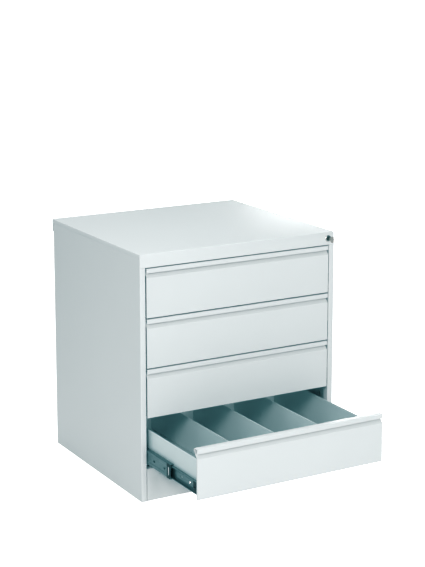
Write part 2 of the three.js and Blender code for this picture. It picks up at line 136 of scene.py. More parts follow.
class UprightSizes(bpy.types.PropertyGroup):
    """Slotted channels that carry the slides."""

    sheet: length("Sheet", "Thickness of a channel", 0.0015)
    fold: length("Fold radius", "Inside radius of a channel's folds", 0.0015)
    pitch: length("Slot pitch", "Distance between slots", 0.025)
    first: length("First slot", "From the foot of the channel to its first slot", 0.031)
    slot_length: length("Slot length", "Height of a slot", 0.012)
    slot_width: length("Slot width", "Width of a slot", 0.005)
    punch: length("Punch depth", "Depth of the slot's cutter", 0.008)


class SlideSizes(bpy.types.PropertyGroup):
    """Telescopic slides."""

    sheet: length("Sheet", "Thickness of a slide member", 0.0015)
    race: length("Race", "Gap for the balls between two flanges", 0.0025)
    rib: length("Rib", "Depth of the pressed rib along a member", 0.0007)
    tip_fold: length("Flange fold", "Inside radius of a member's flange folds", 0.0012)
    rib_fold: length("Rib fold", "Inside radius of the rib's folds", 0.0004)
    ball: length("Ball", "Ball diameter", 0.0024)
    ball_pitch: length("Ball pitch", "Distance from ball to ball", 0.012)
    slot_length: length("Slot length", "Length of the slots in a member's web", 0.011)
    slot_width: length("Slot width", "Width of the slots in a member's web", 0.0055)
    slot_pitch: length("Slot pitch", "Distance between the slots", 0.064)
    slot_start: length("Slot start", "From a member's front end to its first slot", 0.036)
    punch: length("Punch depth", "Depth of the slots' cutter", 0.012)


class StopSizes(bpy.types.PropertyGroup):
    """Black stops, and the cap and bright catch, at the slides' front ends."""

    gap: length("Gap", "Play between a stop and the member around it", 0.0003)
    rail_gap: length("Rail gap", "Play between a stop and the member that passes it", 0.0004)
    seat_gap: length("Seat gap", "Play behind a cap or an inner stop", 0.0002)
    skin: length("Skin", "Space between a member's web and its cap", 0.0001)
    bar_end: length("Bar end", "From the member's end to the rear of its stop bars", 0.018)
    bar_round: length("Bar rounding", "Rounding of the stop bars", 0.0005)
    cap_end: length("Cap end", "From the member's end to the rear of its cap", 0.021)
    cap_sheet: length("Cap thickness", "Thickness of the cap", 0.0005)
    hole_start: length("Hole start", "From the member's end to the cap's hole", 0.006)
    hole_end: length("Hole end", "From the member's end to the rear of the hole", 0.013)
    hole: length("Hole", "Half height of the cap's hole", 0.013)
    catch_edge: length("Catch edge", "Space round the catch in the cap's hole", 0.001)
    catch_sheet: length("Catch thickness", "Thickness of the catch", 0.0004)
    nose: length("Nose", "Rounding of the inner stop", 0.0012)
    nose_start: length("Nose start", "From the inner member's end to its stop", 0.001)
    groove: length("Groove", "Half height of the inner stop's groove", 0.0018)
    groove_edge: length("Groove edge", "From the inner stop's ends to its groove", 0.004)


class LockSizes(bpy.types.PropertyGroup):
    """Barrel, plug and key."""

    hole: length("Hole", "Radius of the barrel's hole in the lid", 0.0084)
    body: length("Body", "Radius of the barrel behind the lid", 0.008)
    bore: length("Bore", "Radius of the barrel's bore", 0.0059)
    flange: length("Flange", "Thickness of the barrel's flange", 0.002)
    soft: length("Soft rim", "Rounding of the barrel's and the plug's rims", 0.0006)
    play: length("Play", "Gap between the plug and the bore", 0.0004)
    square: length("Square", "Half width of the square that the cam sits on", 0.0025)
    keyway: length("Keyway", "Half width of the keyway", 0.0014)
    keyway_height: length("Keyway height", "Half height of the keyway", 0.0034)
    blade: length("Blade", "Half height of the key's blade", 0.003)
    ring_hole: length("Ring hole", "Radius of the hole in the key's bow", 0.003)
    tooth_pitch: length("Tooth pitch", "Distance between the key's teeth", 0.003)
    tooth_top: length("Tooth top", "Half width of a cut at the blade's edge", 0.0011)
    tooth_root: length("Tooth root", "Half width of a cut at its root", 0.0003)
    groove: length("Groove depth", "Depth of the groove along the blade", 0.0005)


class FastenerSizes(bpy.types.PropertyGroup):
    """Rivets and screws."""

    rivet: length("Rivet", "Diameter of a rivet's head", 0.0062)
    rivet_height: length("Rivet height", "Height of a rivet's head", 0.0011)
    rivet_pitch: length("Rivet pitch", "Distance between rivets along a seam", 0.085)
    screw: length("Screw", "Diameter of a screw's head", 0.0078)
    screw_height: length("Screw height", "Height of a screw's head", 0.0018)
    first_screw: length("First screw", "From the inner member's front to its first screw", 0.050)
    middle_screw: length("Middle screw", "From the inner member's front to its middle screw", 0.240)
    last_screw: length("Last screw", "From the last screw to the inner member's rear", 0.060)
    seam_inset: length("Seam inset", "From the side to the back's rivets", 0.010)
    seam_start: length("Seam start", "From the foot of the back to its first rivet", 0.035)
    seam_end: length("Seam end", "From the last rivet to the lid", 0.030)
    flange_inset: length("Flange inset", "From a divider flange's edge to its rivets", 0.004)
    flange_end: length("Flange end", "From a divider's ends to its rivets", 0.040)


class Finishes(bpy.types.PropertyGroup):
    """Colours of the finishes."""

    coat: colour("Coat", "Powder coat of the body and fronts", (0.645, 0.667, 0.675))
    inside: colour("Inside coat", "Powder coat of the trays and dividers", (0.60, 0.67, 0.68))
    zinc: colour("Zinc", "Zinc plate of the uprights", (0.64, 0.68, 0.68))
    # Painted shade: a near-black copy of the zinc, standing in for the shade on the slides' webs.
    slide: colour("Slide", "Duller zinc plate of the slides", (0.17, 0.22, 0.23))
    nickel: colour("Nickel", "Plate of the lock's barrel", (0.50, 0.50, 0.49))
    # Painted shade: the plug's near-black plate stands in for the shade on its face.
    plug: colour("Plug", "Darkened plate of the lock's plug", (0.075, 0.072, 0.070))
    key: colour("Key", "Nickel silver of the key", (0.50, 0.46, 0.43))
    nylon: colour("Nylon", "Black end stops of the slides", (0.012, 0.013, 0.014))
    steel: colour("Balls", "Polished steel of the balls", (0.70, 0.71, 0.72))


class StageSizes(bpy.types.PropertyGroup):
    """Floor, lights and camera."""

    azimuth: FloatProperty(name="Azimuth", description="Turn of the camera", default=-29.86)
    tilt: FloatProperty(name="Tilt", description="Camera's downward tilt, in degrees", default=10.37)
    lens: FloatProperty(name="Lens", description="Focal length, in millimetres", default=98.33)
    rise: FloatProperty(name="Rise", description="Lens shift that keeps the uprights upright", default=-0.16)
    eye: FloatVectorProperty(
        name="Eye", description="Camera position", default=(-2.3196, -4.1759, 1.7274), size=3
    )
    floor: colour("Floor", "Floor colour", (0.82, 0.82, 0.82))
    floor_gap: length("Floor gap", "Space between the floor and the cabinet's foot", 0.0005)
    lamp: colour("Lamp", "Colour of the lamps", (0.968, 0.972, 0.962))
    floor_glow: FloatProperty(name="Floor glow", description="Light given off by the floor", default=1.0)
    sky: colour("Sky", "Colour of the surrounding light", (0.80, 0.96, 1.0))
    sky_strength: FloatProperty(name="Sky strength", description="Surrounding light", default=0.30)
    front_power: FloatProperty(name="Front power", description="Front light, in watts", default=78.0)
    side_power: FloatProperty(name="Side power", description="High light at the left, in watts", default=92.0)
    back_power: FloatProperty(name="Back power", description="Light on the far sides, in watts", default=95.0)
    top_power: FloatProperty(name="Top power", description="Overhead light, in watts", default=82.0)


PROPERTY_GROUPS = {
    "cabinet_sheet": SheetSizes,
    "cabinet_front": FrontSizes,
    "cabinet_tray": TraySizes,
    "cabinet_upright": UprightSizes,
    "cabinet_slide": SlideSizes,
    "cabinet_stop": StopSizes,
    "cabinet_lock": LockSizes,
    "cabinet_fastener": FastenerSizes,
    "cabinet_finish": Finishes,
    "cabinet_stage": StageSizes,
}


# ---- Mesh helpers -----------------------------------------------------------------------------


def folded(points, thickness, radius, steps):
    """Outline of a sheet folded along a line of points. The sheet lies on the right of the line.
    radius is the folds' inside radius, or a list with one for each fold."""
    line = [Vector(p) for p in points]
    radii = radius if isinstance(radius, list) else [radius] * (len(line) - 2)
    normals = []
    for start, end in zip(line, line[1:]):
        along = (end - start).normalized()
        normals.append(Vector((along.y, -along.x)))
    near = [(line[0], normals[0])]
    for index in range(1, len(line) - 1):
        before, after = normals[index - 1], normals[index]
        turn = math.atan2(before.x * after.y - before.y * after.x, before.dot(after))
        bend = radii[index - 1]
        line_radius = bend if turn > 0 else -(bend + thickness)
        tangent = abs(line_radius * math.tan(turn / 2))
        along = Vector((-before.y, before.x))
        centre = line[index] - along * tangent - before * line_radius
        count = max(2, round(steps * abs(turn) / (math.pi / 2)))
        for step in range(count + 1):
            facing = before.copy()
            facing.rotate(Matrix.Rotation(turn * step / count, 2))
            near.append((centre + facing * line_radius, facing))
    near.append((line[-1], normals[-1]))
    far = [point + normal * thickness for point, normal in near]
    return [point for point, _ in near] + far[::-1]


def sided(side, points):
    """A line drawn for the right side, or mirrored for the left."""
    return points if side > 0 else [(-u, v) for u, v in points][::-1]


def sided_range(side, low, high):
    return (low, high) if side > 0 else (-high, -low)


def prism(outline, axis, low, high):
    """A closed outline swept along an axis, as a bmesh."""
    order = {"X": lambda u, v, w: (w, u, v), "Y": lambda u, v, w: (u, w, v), "Z": lambda u, v, w: (u, v, w)}
    place = order[axis]
    made = bmesh.new()
    ends = [[made.verts.new(place(p[0], p[1], w)) for p in outline] for w in (low, high)]
    made.faces.new(ends[0])
    made.faces.new(ends[1])
    for index in range(len(outline)):
        after = (index + 1) % len(outline)
        made.faces.new((ends[0][index], ends[0][after], ends[1][after], ends[1][index]))
    bmesh.ops.recalc_face_normals(made, faces=made.faces)
    return made


def block(x, y, z):
    return prism([(x[0], y[0]), (x[1], y[0]), (x[1], y[1]), (x[0], y[1])], "Z", *z)


def turned(profile, centre, segments=48):
    """A closed profile of (radius, y) turned about a line along Y through centre (x, z)."""
    made = bmesh.new()
    rings = []
    for step in range(segments):
        angle = 2 * math.pi * step / segments
        rings.append([
            made.verts.new((centre[0] + r * math.cos(angle), y, centre[1] + r * math.sin(angle)))
            for r, y in profile
        ])
    for ring, after in zip(rings, rings[1:] + rings[:1]):
        for index in range(len(profile)):
            nxt = (index + 1) % len(profile)
            made.faces.new((ring[index], ring[nxt], after[nxt], after[index]))
    bmesh.ops.remove_doubles(made, verts=made.verts, dist=1e-7)
    bmesh.ops.recalc_face_normals(made, faces=made.faces)
    return made


def disc_outline(centre, radius, start=0.0, end=2 * math.pi, steps=32):
    count = steps if end - start < 2 * math.pi - 1e-6 else steps - 1
    return [
        (centre[0] + radius * math.cos(start + (end - start) * i / steps),
         centre[1] + radius * math.sin(start + (end - start) * i / steps))
        for i in range(count + 1)
    ]


def loose_object(name, shape):
    mesh = bpy.data.meshes.new(name)
    shape.to_mesh(mesh)
    shape.free()
    made = bpy.data.objects.new(name, mesh)
    bpy.context.scene.collection.objects.link(made)
    return made


def evaluated_mesh(obj):
    bpy.context.view_layer.update()
    return bpy.data.meshes.new_from_object(obj.evaluated_get(bpy.context.evaluated_depsgraph_get()))


def combined(shape, *steps):
    """shape after a list of ("UNION" or "DIFFERENCE", other shape), as a bmesh."""
    base = loose_object("combined", shape)
    for operation, other_shape in steps:
        other = loose_object("tool", other_shape)
        boolean = base.modifiers.new("boolean", "BOOLEAN")
        boolean.operation, boolean.solver, boolean.object = operation, "EXACT", other
        done = evaluated_mesh(base)
        base.modifiers.remove(boolean)
        old = base.data
        base.data = done
        bpy.data.meshes.remove(old)
        bpy.data.objects.remove(other)
    made = bmesh.new()
    made.from_mesh(base.data)
    bpy.data.objects.remove(base)
    bmesh.ops.dissolve_limit(made, angle_limit=math.radians(0.5), verts=made.verts, edges=made.edges)
    return made


def piece(name, shape, finish, body, stands_for=(), edge=None, edge_segments=2):
    """Links a finished shape as one piece of the object, on its body."""
    if isinstance(shape, bpy.types.Mesh):
        made = bpy.data.objects.new(name, shape)
        bpy.context.scene.collection.objects.link(made)
    else:
        made = loose_object(name, shape)
    if not made.data.materials:
        made.data.materials.append(finish_of(finish))
    made.data.shade_smooth()
    made.data.set_sharp_from_angle(angle=math.radians(32))
    if edge is None:
        edge = bpy.context.scene.cabinet_sheet.soft_edge
    if edge:
        bevel = made.modifiers.new("soft edges", "BEVEL")
        bevel.width, bevel.segments = edge, edge_segments
        bevel.limit_method, bevel.angle_limit = "ANGLE", math.radians(50)
        bevel.harden_normals = True
    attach(made, body)
    if stands_for:
        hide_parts(*stands_for)
    return made


# ---- Node helpers -----------------------------------------------------------------------------


def node(tree, kind, settings=None, inputs=None):
    """Adds a node. inputs maps a socket's name or index to a value or to another node's output."""
    made = tree.nodes.new(kind)
    for key, value in (settings or {}).items():
        setattr(made, key, value)
    for key, value in (inputs or {}).items():
        socket = made.inputs[key]
        if isinstance(value, bpy.types.NodeSocket):
            tree.links.new(value, socket)
        else:
            socket.default_value = value
    return made


def maths(tree, operation, first, second=0.0, clamp=False):
    made = node(tree, "ShaderNodeMath", {"operation": operation, "use_clamp": clamp}, {0: first, 1: second})
    return made.outputs[0]


def new_group(name, kind, inputs, outputs):
    """A node group with named sockets, and its input and output nodes."""
    tree = bpy.data.node_groups.new(name, kind)
    for in_out, sockets in (("INPUT", inputs), ("OUTPUT", outputs)):
        for label, socket_type, default in sockets:
            made = tree.interface.new_socket(name=label, in_out=in_out, socket_type=socket_type)
            if default is not None:
                made.default_value = default
    return tree, tree.nodes.new("NodeGroupInput").outputs, tree.nodes.new("NodeGroupOutput").inputs


def existing(collection, name, build):
    return collection.get(name) or build(name)


# ---- Shader effects shared by the finishes ----------------------------------------------------


def build_grain_effect(name):
    """Orange-peel height, a roughness that wanders with it, and a slow blotch mask."""
    tree, given, out = new_group(
        name, "ShaderNodeTree",
        [("Vector", "NodeSocketVector", None), ("Grain Size", "NodeSocketFloat", 0.0012),
         ("Roughness", "NodeSocketFloat", 0.45), ("Variation", "NodeSocketFloat", 0.08)],
        [("Height", "NodeSocketFloat", None), ("Roughness", "NodeSocketFloat", None),
         ("Blotch", "NodeSocketFloat", None)],
    )
    scale = maths(tree, "DIVIDE", 1.0, given["Grain Size"])
    peel = node(tree, "ShaderNodeTexNoise", None,
                {"Vector": given["Vector"], "Scale": scale, "Detail": 2.0, "Roughness": 0.45})
    blotch = node(tree, "ShaderNodeTexNoise", None,
                  {"Vector": given["Vector"], "Scale": 3.1, "Detail": 3.0, "Roughness": 0.55})
    swing = maths(tree, "MULTIPLY", maths(tree, "SUBTRACT", blotch.outputs["Fac"], 0.5), given["Variation"])
    tree.links.new(peel.outputs["Fac"], out["Height"])
    tree.links.new(maths(tree, "ADD", given["Roughness"], swing, clamp=True), out["Roughness"])
    tree.links.new(blotch.outputs["Fac"], out["Blotch"])
    return tree


def build_edge_crease_effect(name):
    """Mask along edges and creases: where a rounded normal leaves the true one, broken up by noise. The metal
    finishes use it to paint highlights along their edges.
    """
    tree, given, out = new_group(
        name, "ShaderNodeTree",
        [("Vector", "NodeSocketVector", None), ("Radius", "NodeSocketFloat", 0.0012),
         ("Amount", "NodeSocketFloat", 0.4)],
        [("Mask", "NodeSocketFloat", None)],
    )
    rounded = node(tree, "ShaderNodeBevel", {"samples": 4}, {"Radius": given["Radius"]})
    true_normal = node(tree, "ShaderNodeNewGeometry")
    dot = node(tree, "ShaderNodeVectorMath", {"operation": "DOT_PRODUCT"},
               {0: rounded.outputs[0], 1: true_normal.outputs["Normal"]})
    bend = maths(tree, "SUBTRACT", 1.0, dot.outputs["Value"])
    broken = node(tree, "ShaderNodeTexNoise", None,
                  {"Vector": given["Vector"], "Scale": 160.0, "Detail": 4.0, "Roughness": 0.65})
    strong = maths(tree, "MULTIPLY", bend, 5.0, clamp=True)
    patchy = node(tree, "ShaderNodeMapRange", None,
                  {"Value": broken.outputs["Fac"], "From Min": 0.42, "From Max": 0.68})
    mask = maths(tree, "MULTIPLY", maths(tree, "MULTIPLY", strong, patchy.outputs[0]), given["Amount"])
    tree.links.new(mask, out["Mask"])
    return tree


def build_dust_effect(name):
    """Mask of fine dust: on upward faces, thicker in soft patches."""
    tree, given, out = new_group(
        name, "ShaderNodeTree",
        [("Vector", "NodeSocketVector", None), ("Amount", "NodeSocketFloat", 0.2)],
        [("Mask", "NodeSocketFloat", None)],
    )
    facing = node(tree, "ShaderNodeSeparateXYZ", None,
                  {0: node(tree, "ShaderNodeNewGeometry").outputs["Normal"]})
    upward = node(tree, "ShaderNodeMapRange", None,
                  {"Value": facing.outputs["Z"], "From Min": 0.55, "From Max": 1.0})
    patches = node(tree, "ShaderNodeTexNoise", None,
                   {"Vector": given["Vector"], "Scale": 14.0, "Detail": 5.0, "Roughness": 0.6})
    mask = maths(tree, "MULTIPLY", maths(tree, "MULTIPLY", upward.outputs[0], patches.outputs["Fac"]),
                 given["Amount"])
    tree.links.new(mask, out["Mask"])
    return tree


def build_spangle_effect(name):
    """Crystal patches of a zinc plate, with fine rolling lines along the sheet."""
    tree, given, out = new_group(
        name, "ShaderNodeTree",
        [("Vector", "NodeSocketVector", None), ("Crystal Size", "NodeSocketFloat", 0.006)],
        [("Tone", "NodeSocketFloat", None), ("Height", "NodeSocketFloat", None)],
    )
    crystals = node(tree, "ShaderNodeTexVoronoi", None,
                    {"Vector": given["Vector"], "Scale": maths(tree, "DIVIDE", 1.0, given["Crystal Size"])})
    tone = node(tree, "ShaderNodeSeparateXYZ", None, {0: crystals.outputs["Color"]})
    stretched = node(tree, "ShaderNodeMapping", None,
                     {"Vector": given["Vector"], "Scale": (700.0, 6.0, 700.0)})
    lines = node(tree, "ShaderNodeTexNoise", None,
                 {"Vector": stretched.outputs[0], "Scale": 1.0, "Detail": 2.0})
    both = maths(tree, "ADD", maths(tree, "MULTIPLY", tone.outputs["X"], 0.6),
                 maths(tree, "MULTIPLY", lines.outputs["Fac"], 0.4))
    tree.links.new(both, out["Tone"])
    tree.links.new(lines.outputs["Fac"], out["Height"])
    return tree


EFFECTS = {
    "grain_effect": build_grain_effect,
    "edge_wear_effect": build_edge_crease_effect,
    "dust_effect": build_dust_effect,
    "spangle_effect": build_spangle_effect,
}


def effect(tree, name, inputs):
    group = existing(bpy.data.node_groups, name, EFFECTS[name])
    return node(tree, "ShaderNodeGroup", {"node_tree": group}, inputs).outputs


# ---- Finishes ---------------------------------------------------------------------------------


def start_material(name):
    material = bpy.data.materials.new(name)
    material.use_nodes = True
    tree = material.node_tree
    place = node(tree, "ShaderNodeTexCoord").outputs["Object"]
    return material, tree, tree.nodes["Principled BSDF"], place


def mixed(tree, mask, first, second):
    made = node(tree, "ShaderNodeMix", {"data_type": "RGBA"}, {"Factor": mask, 6: first, 7: second})
    return made.outputs[2]


def shade(rgb, factor):
    return (*[min(1.0, c * factor) for c in rgb], 1.0)


def bump_into(tree, shader, height, strength, distance):
    bump = node(tree, "ShaderNodeBump", None,
                {"Height": height, "Strength": strength, "Distance": distance})
    tree.links.new(bump.outputs[0], shader.inputs["Normal"])


def powder_coat(name, rgb, grain, roughness, dust_amount, wear):
    """Fine-textured powder coat with a little dust, a little darker along its edges and creases."""
    material, tree, shader, place = start_material(name)
    peel = effect(tree, "grain_effect",
                  {"Vector": place, "Grain Size": grain, "Roughness": roughness, "Variation": 0.10})
    dust = effect(tree, "dust_effect", {"Vector": place, "Amount": dust_amount})
    edge_marks = effect(tree, "edge_wear_effect", {"Vector": place, "Amount": wear})
    toned = mixed(tree, peel["Blotch"], shade(rgb, 0.972), shade(rgb, 1.018))
    dusty = mixed(tree, dust["Mask"], toned, (0.70, 0.69, 0.66, 1.0))
    # A little darker along edges and creases.
    edge_darkened = mixed(tree, edge_marks["Mask"], dusty, shade(rgb, 0.80))
    tree.links.new(edge_darkened, shader.inputs["Base Color"])
    tree.links.new(maths(tree, "ADD", peel["Roughness"], dust["Mask"], clamp=True),
                   shader.inputs["Roughness"])
    shader.inputs["Specular IOR Level"].default_value = 0.45
    bump_into(tree, shader, peel["Height"], 0.22, 0.00025)
    return material


def zinc_plate(name, rgb):
    """Zinc plate: crystal patches, rolling lines, and a painted highlight along edges and creases."""
    material, tree, shader, place = start_material(name)
    spangle = effect(tree, "spangle_effect", {"Vector": place, "Crystal Size": 0.004})
    grain = effect(tree, "grain_effect",
                   {"Vector": place, "Grain Size": 0.0009, "Roughness": 0.34, "Variation": 0.20})
    edge_marks = effect(tree, "edge_wear_effect", {"Vector": place, "Radius": 0.0008, "Amount": 0.7})
    toned = mixed(tree, spangle["Tone"], shade(rgb, 0.84), shade(rgb, 1.16))
    # Painted highlight: edges and creases turned near white, as if catching the light.
    edge_highlighted = mixed(tree, edge_marks["Mask"], toned, (0.82, 0.84, 0.85, 1.0))
    tree.links.new(edge_highlighted, shader.inputs["Base Color"])
    tree.links.new(grain["Roughness"], shader.inputs["Roughness"])
    shader.inputs["Metallic"].default_value = 0.92
    bump_into(tree, shader, spangle["Height"], 0.18, 0.0002)
    return material


def plated(name, rgb, roughness, scratch):
    """Smooth plated or polished metal with fine scratches, and a painted highlight along edges and creases.
    """
    material, tree, shader, place = start_material(name)
    grain = effect(tree, "grain_effect",
                   {"Vector": place, "Grain Size": scratch, "Roughness": roughness, "Variation": 0.12})
    edge_marks = effect(tree, "edge_wear_effect", {"Vector": place, "Radius": 0.0005, "Amount": 0.6})
    toned = mixed(tree, grain["Blotch"], shade(rgb, 0.9), shade(rgb, 1.08))
    # Painted highlight: edges and creases lightened by 1.4.
    edge_highlighted = mixed(tree, edge_marks["Mask"], toned, shade(rgb, 1.4))
    tree.links.new(edge_highlighted, shader.inputs["Base Color"])
    tree.links.new(grain["Roughness"], shader.inputs["Roughness"])
    shader.inputs["Metallic"].default_value = 1.0
    bump_into(tree, shader, grain["Height"], 0.08, 0.0001)
    return material


def nylon(name, rgb):
    """Moulded black nylon."""
    material, tree, shader, place = start_material(name)
    grain = effect(tree, "grain_effect",
                   {"Vector": place, "Grain Size": 0.0006, "Roughness": 0.5, "Variation": 0.15})
    edge_marks = effect(tree, "edge_wear_effect", {"Vector": place, "Radius": 0.0006, "Amount": 0.5})
    toned = mixed(tree, grain["Blotch"], shade(rgb, 0.8), shade(rgb, 1.5))
    # A little lighter along edges and creases.
    tree.links.new(mixed(tree, edge_marks["Mask"], toned, (0.03, 0.03, 0.03, 1.0)), shader.inputs["Base Color"])
    tree.links.new(grain["Roughness"], shader.inputs["Roughness"])
    shader.inputs["Specular IOR Level"].default_value = 0.25
    bump_into(tree, shader, grain["Height"], 0.15, 0.0002)
    return material


FINISHES = {
    "coat": (powder_coat, "coat", {"grain": 0.0011, "roughness": 0.42, "dust_amount": 0.04, "wear": 0.12}),
    "inside_coat": (
        powder_coat, "inside", {"grain": 0.0013, "roughness": 0.50, "dust_amount": 0.06, "wear": 0.15}
    ),
    "galvanised": (zinc_plate, "zinc", {}),
    # Painted shade: the slides take a near-black copy of the zinc.
    "slide_zinc": (zinc_plate, "slide", {}),
    "chrome": (plated, "nickel", {"roughness": 0.20, "scratch": 0.0004}),
    # Painted shade: the plug's near-black plate.
    "dark_plate": (plated, "plug", {"roughness": 0.34, "scratch": 0.0004}),
    "key_steel": (plated, "key", {"roughness": 0.32, "scratch": 0.0005}),
    "ball_steel": (plated, "steel", {"roughness": 0.12, "scratch": 0.0005}),
    "black_nylon": (nylon, "nylon", {}),
}


def build_finish(name):
    build, colour_name, values = FINISHES[name.removesuffix("_finish")]
    return build(name, getattr(bpy.context.scene.cabinet_finish, colour_name), **values)


def finish_of(name):
    return existing(bpy.data.materials, name + "_finish", build_finish)


# ---- Geometry node trees ----------------------------------------------------------------------


def build_head_tree(name, head):
    """Puts a head, built by head(tree, given), on every point, turned to the point's facing."""
    tree, given, out = new_group(
        name, "GeometryNodeTree",
        [("Points", "NodeSocketGeometry", None), ("Diameter", "NodeSocketFloat", 0.006),
         ("Height", "NodeSocketFloat", 0.001), ("Material", "NodeSocketMaterial", None)],
        [("Geometry", "NodeSocketGeometry", None)],
    )
    facing = node(tree, "GeometryNodeInputNamedAttribute", {"data_type": "FLOAT_VECTOR"}, {"Name": "facing"})
    turn = node(tree, "FunctionNodeAlignRotationToVector", {"axis": "Z"}, {"Vector": facing.outputs[0]})
    placed = node(tree, "GeometryNodeInstanceOnPoints", None, {
        "Points": given["Points"], "Instance": head(tree, given), "Rotation": turn.outputs[0],
    })
    real = node(tree, "GeometryNodeRealizeInstances", None, {0: placed.outputs[0]})
    painted = node(tree, "GeometryNodeSetMaterial", None,
                   {"Geometry": real.outputs[0], "Material": given["Material"]})
    tree.links.new(painted.outputs[0], out["Geometry"])
    return tree


def sized_vector(tree, x, y, z):
    return node(tree, "ShaderNodeCombineXYZ", None, {0: x, 1: y, 2: z}).outputs[0]


def ball_head(tree, given):
    radius = maths(tree, "MULTIPLY", given["Diameter"], 0.5)
    return node(tree, "GeometryNodeMeshUVSphere", None,
                {"Segments": 10, "Rings": 7, "Radius": radius}).outputs["Mesh"]


def rivet_head(tree, given):
    """Low dome, flat below."""
    radius = maths(tree, "MULTIPLY", given["Diameter"], 0.5)
    ball = node(tree, "GeometryNodeMeshUVSphere", None, {"Segments": 16, "Rings": 8, "Radius": 1.0})
    size = sized_vector(tree, radius, radius, given["Height"])
    dome = node(tree, "GeometryNodeTransform", None, {"Geometry": ball.outputs["Mesh"], "Scale": size})
    below = node(tree, "GeometryNodeMeshCube", None, {"Size": (0.05, 0.05, 0.05)})
    sunk = node(tree, "GeometryNodeTransform", None,
                {"Geometry": below.outputs["Mesh"], "Translation": (0.0, 0.0, -0.025)})
    return node(tree, "GeometryNodeMeshBoolean", {"operation": "DIFFERENCE", "solver": "EXACT"},
                {0: dome.outputs[0], 1: sunk.outputs[0]}).outputs[0]


def screw_head(tree, given):
    """Pan head with a cross recess."""
    radius = maths(tree, "MULTIPLY", given["Diameter"], 0.5)
    pan = node(tree, "GeometryNodeMeshCone", None, {
        "Vertices": 20, "Radius Top": maths(tree, "MULTIPLY", radius, 0.72),
        "Radius Bottom": radius, "Depth": given["Height"],
    })
    long_side = maths(tree, "MULTIPLY", given["Diameter"], 0.52)
    short_side = maths(tree, "MULTIPLY", given["Diameter"], 0.13)
    bars = [
        node(tree, "GeometryNodeMeshCube", None, {"Size": sized_vector(tree, *sides, given["Height"])})
        for sides in ((long_side, short_side), (short_side, long_side))
    ]
    cross = node(tree, "GeometryNodeMeshBoolean", {"operation": "UNION", "solver": "EXACT"})
    for bar in bars:
        tree.links.new(bar.outputs["Mesh"], cross.inputs[1])
    raised = node(tree, "GeometryNodeTransform", None, {
        "Geometry": cross.outputs[0],
        "Translation": sized_vector(tree, 0.0, 0.0, maths(tree, "MULTIPLY", given["Height"], 0.75)),
    })
    return node(tree, "GeometryNodeMeshBoolean", {"operation": "DIFFERENCE", "solver": "EXACT"},
                {0: pan.outputs["Mesh"], 1: raised.outputs[0]}).outputs[0]


HEADS = {"ball_tree": ball_head, "rivet_tree": rivet_head, "screw_tree": screw_head}


def build_slot_tree(name):
    """Cuts a row of round-ended slots into a web that faces X."""
    tree, given, out = new_group(
        name, "GeometryNodeTree",
        [("Web", "NodeSocketGeometry", None), ("Start", "NodeSocketVector", None),
         ("Step", "NodeSocketVector", None), ("Count", "NodeSocketInt", 4),
         ("Slot Length", "NodeSocketFloat", 0.01), ("Slot Width", "NodeSocketFloat", 0.005),
         ("Depth", "NodeSocketFloat", 0.01), ("Material", "NodeSocketMaterial", None)],
        [("Geometry", "NodeSocketGeometry", None)],
    )
    outline = node(tree, "GeometryNodeCurvePrimitiveQuadrilateral", None,
                   {"Width": given["Slot Length"], "Height": given["Slot Width"]})
    corner = maths(tree, "MULTIPLY", given["Slot Width"], 0.49)
    round_ended = node(tree, "GeometryNodeFilletCurve", {"mode": "POLY"},
                       {"Curve": outline.outputs[0], "Radius": corner, "Count": 4})
    half = maths(tree, "MULTIPLY", given["Depth"], 0.5)
    path = node(tree, "GeometryNodeCurvePrimitiveLine", None, {
        "Start": sized_vector(tree, 0.0, 0.0, maths(tree, "MULTIPLY", half, -1.0)),
        "End": sized_vector(tree, 0.0, 0.0, half),
    })
    punch = node(tree, "GeometryNodeCurveToMesh", None, {
        "Curve": path.outputs[0], "Profile Curve": round_ended.outputs[0], "Fill Caps": True,
    })
    row = node(tree, "GeometryNodeMeshLine", {"mode": "OFFSET"},
               {"Count": given["Count"], "Start Location": given["Start"], "Offset": given["Step"]})
    aim = node(tree, "FunctionNodeAxesToRotation", {"primary_axis": "Z", "secondary_axis": "X"},
               {0: (1.0, 0.0, 0.0), 1: given["Step"]})
    punches = node(tree, "GeometryNodeInstanceOnPoints", None, {
        "Points": row.outputs[0], "Instance": punch.outputs[0], "Rotation": aim.outputs[0],
    })
    real = node(tree, "GeometryNodeRealizeInstances", None, {0: punches.outputs[0]})
    cut = node(tree, "GeometryNodeMeshBoolean", {"operation": "DIFFERENCE", "solver": "EXACT"},
               {0: given["Web"], 1: real.outputs[0]})
    painted = node(tree, "GeometryNodeSetMaterial", None,
                   {"Geometry": cut.outputs[0], "Material": given["Material"]})
    tree.links.new(painted.outputs[0], out["Geometry"])
    return tree


def through_tree(obj, tree, values):
    """obj's mesh after a geometry node tree, as a plain mesh. obj is removed."""
    sockets = {s.name: s.identifier for s in tree.interface.items_tree if s.in_out == "INPUT"}
    modifier = obj.modifiers.new("nodes", "NODES")
    modifier.node_group = tree
    for name, value in values.items():
        modifier[sockets[name]] = value
    mesh = evaluated_mesh(obj)
    bpy.data.objects.remove(obj)
    return mesh


def heads_on_points(name, tree_name, places, values, finish, body):
    """One piece of balls, rivets or screws, one on each (point, facing)."""
    cloud = bpy.data.meshes.new(name + "_points")
    cloud.from_pydata([point for point, _ in places], [], [])
    facing = cloud.attributes.new("facing", "FLOAT_VECTOR", "POINT")
    for index, (_, direction) in enumerate(places):
        facing.data[index].vector = direction
    carrier = bpy.data.objects.new(name + "_points", cloud)
    bpy.context.scene.collection.objects.link(carrier)
    tree = existing(bpy.data.node_groups, tree_name, lambda n: build_head_tree(n, HEADS[n]))
    mesh = through_tree(carrier, tree, {**values, "Material": finish_of(finish)})
    return piece(name, mesh, finish, body, edge=0)


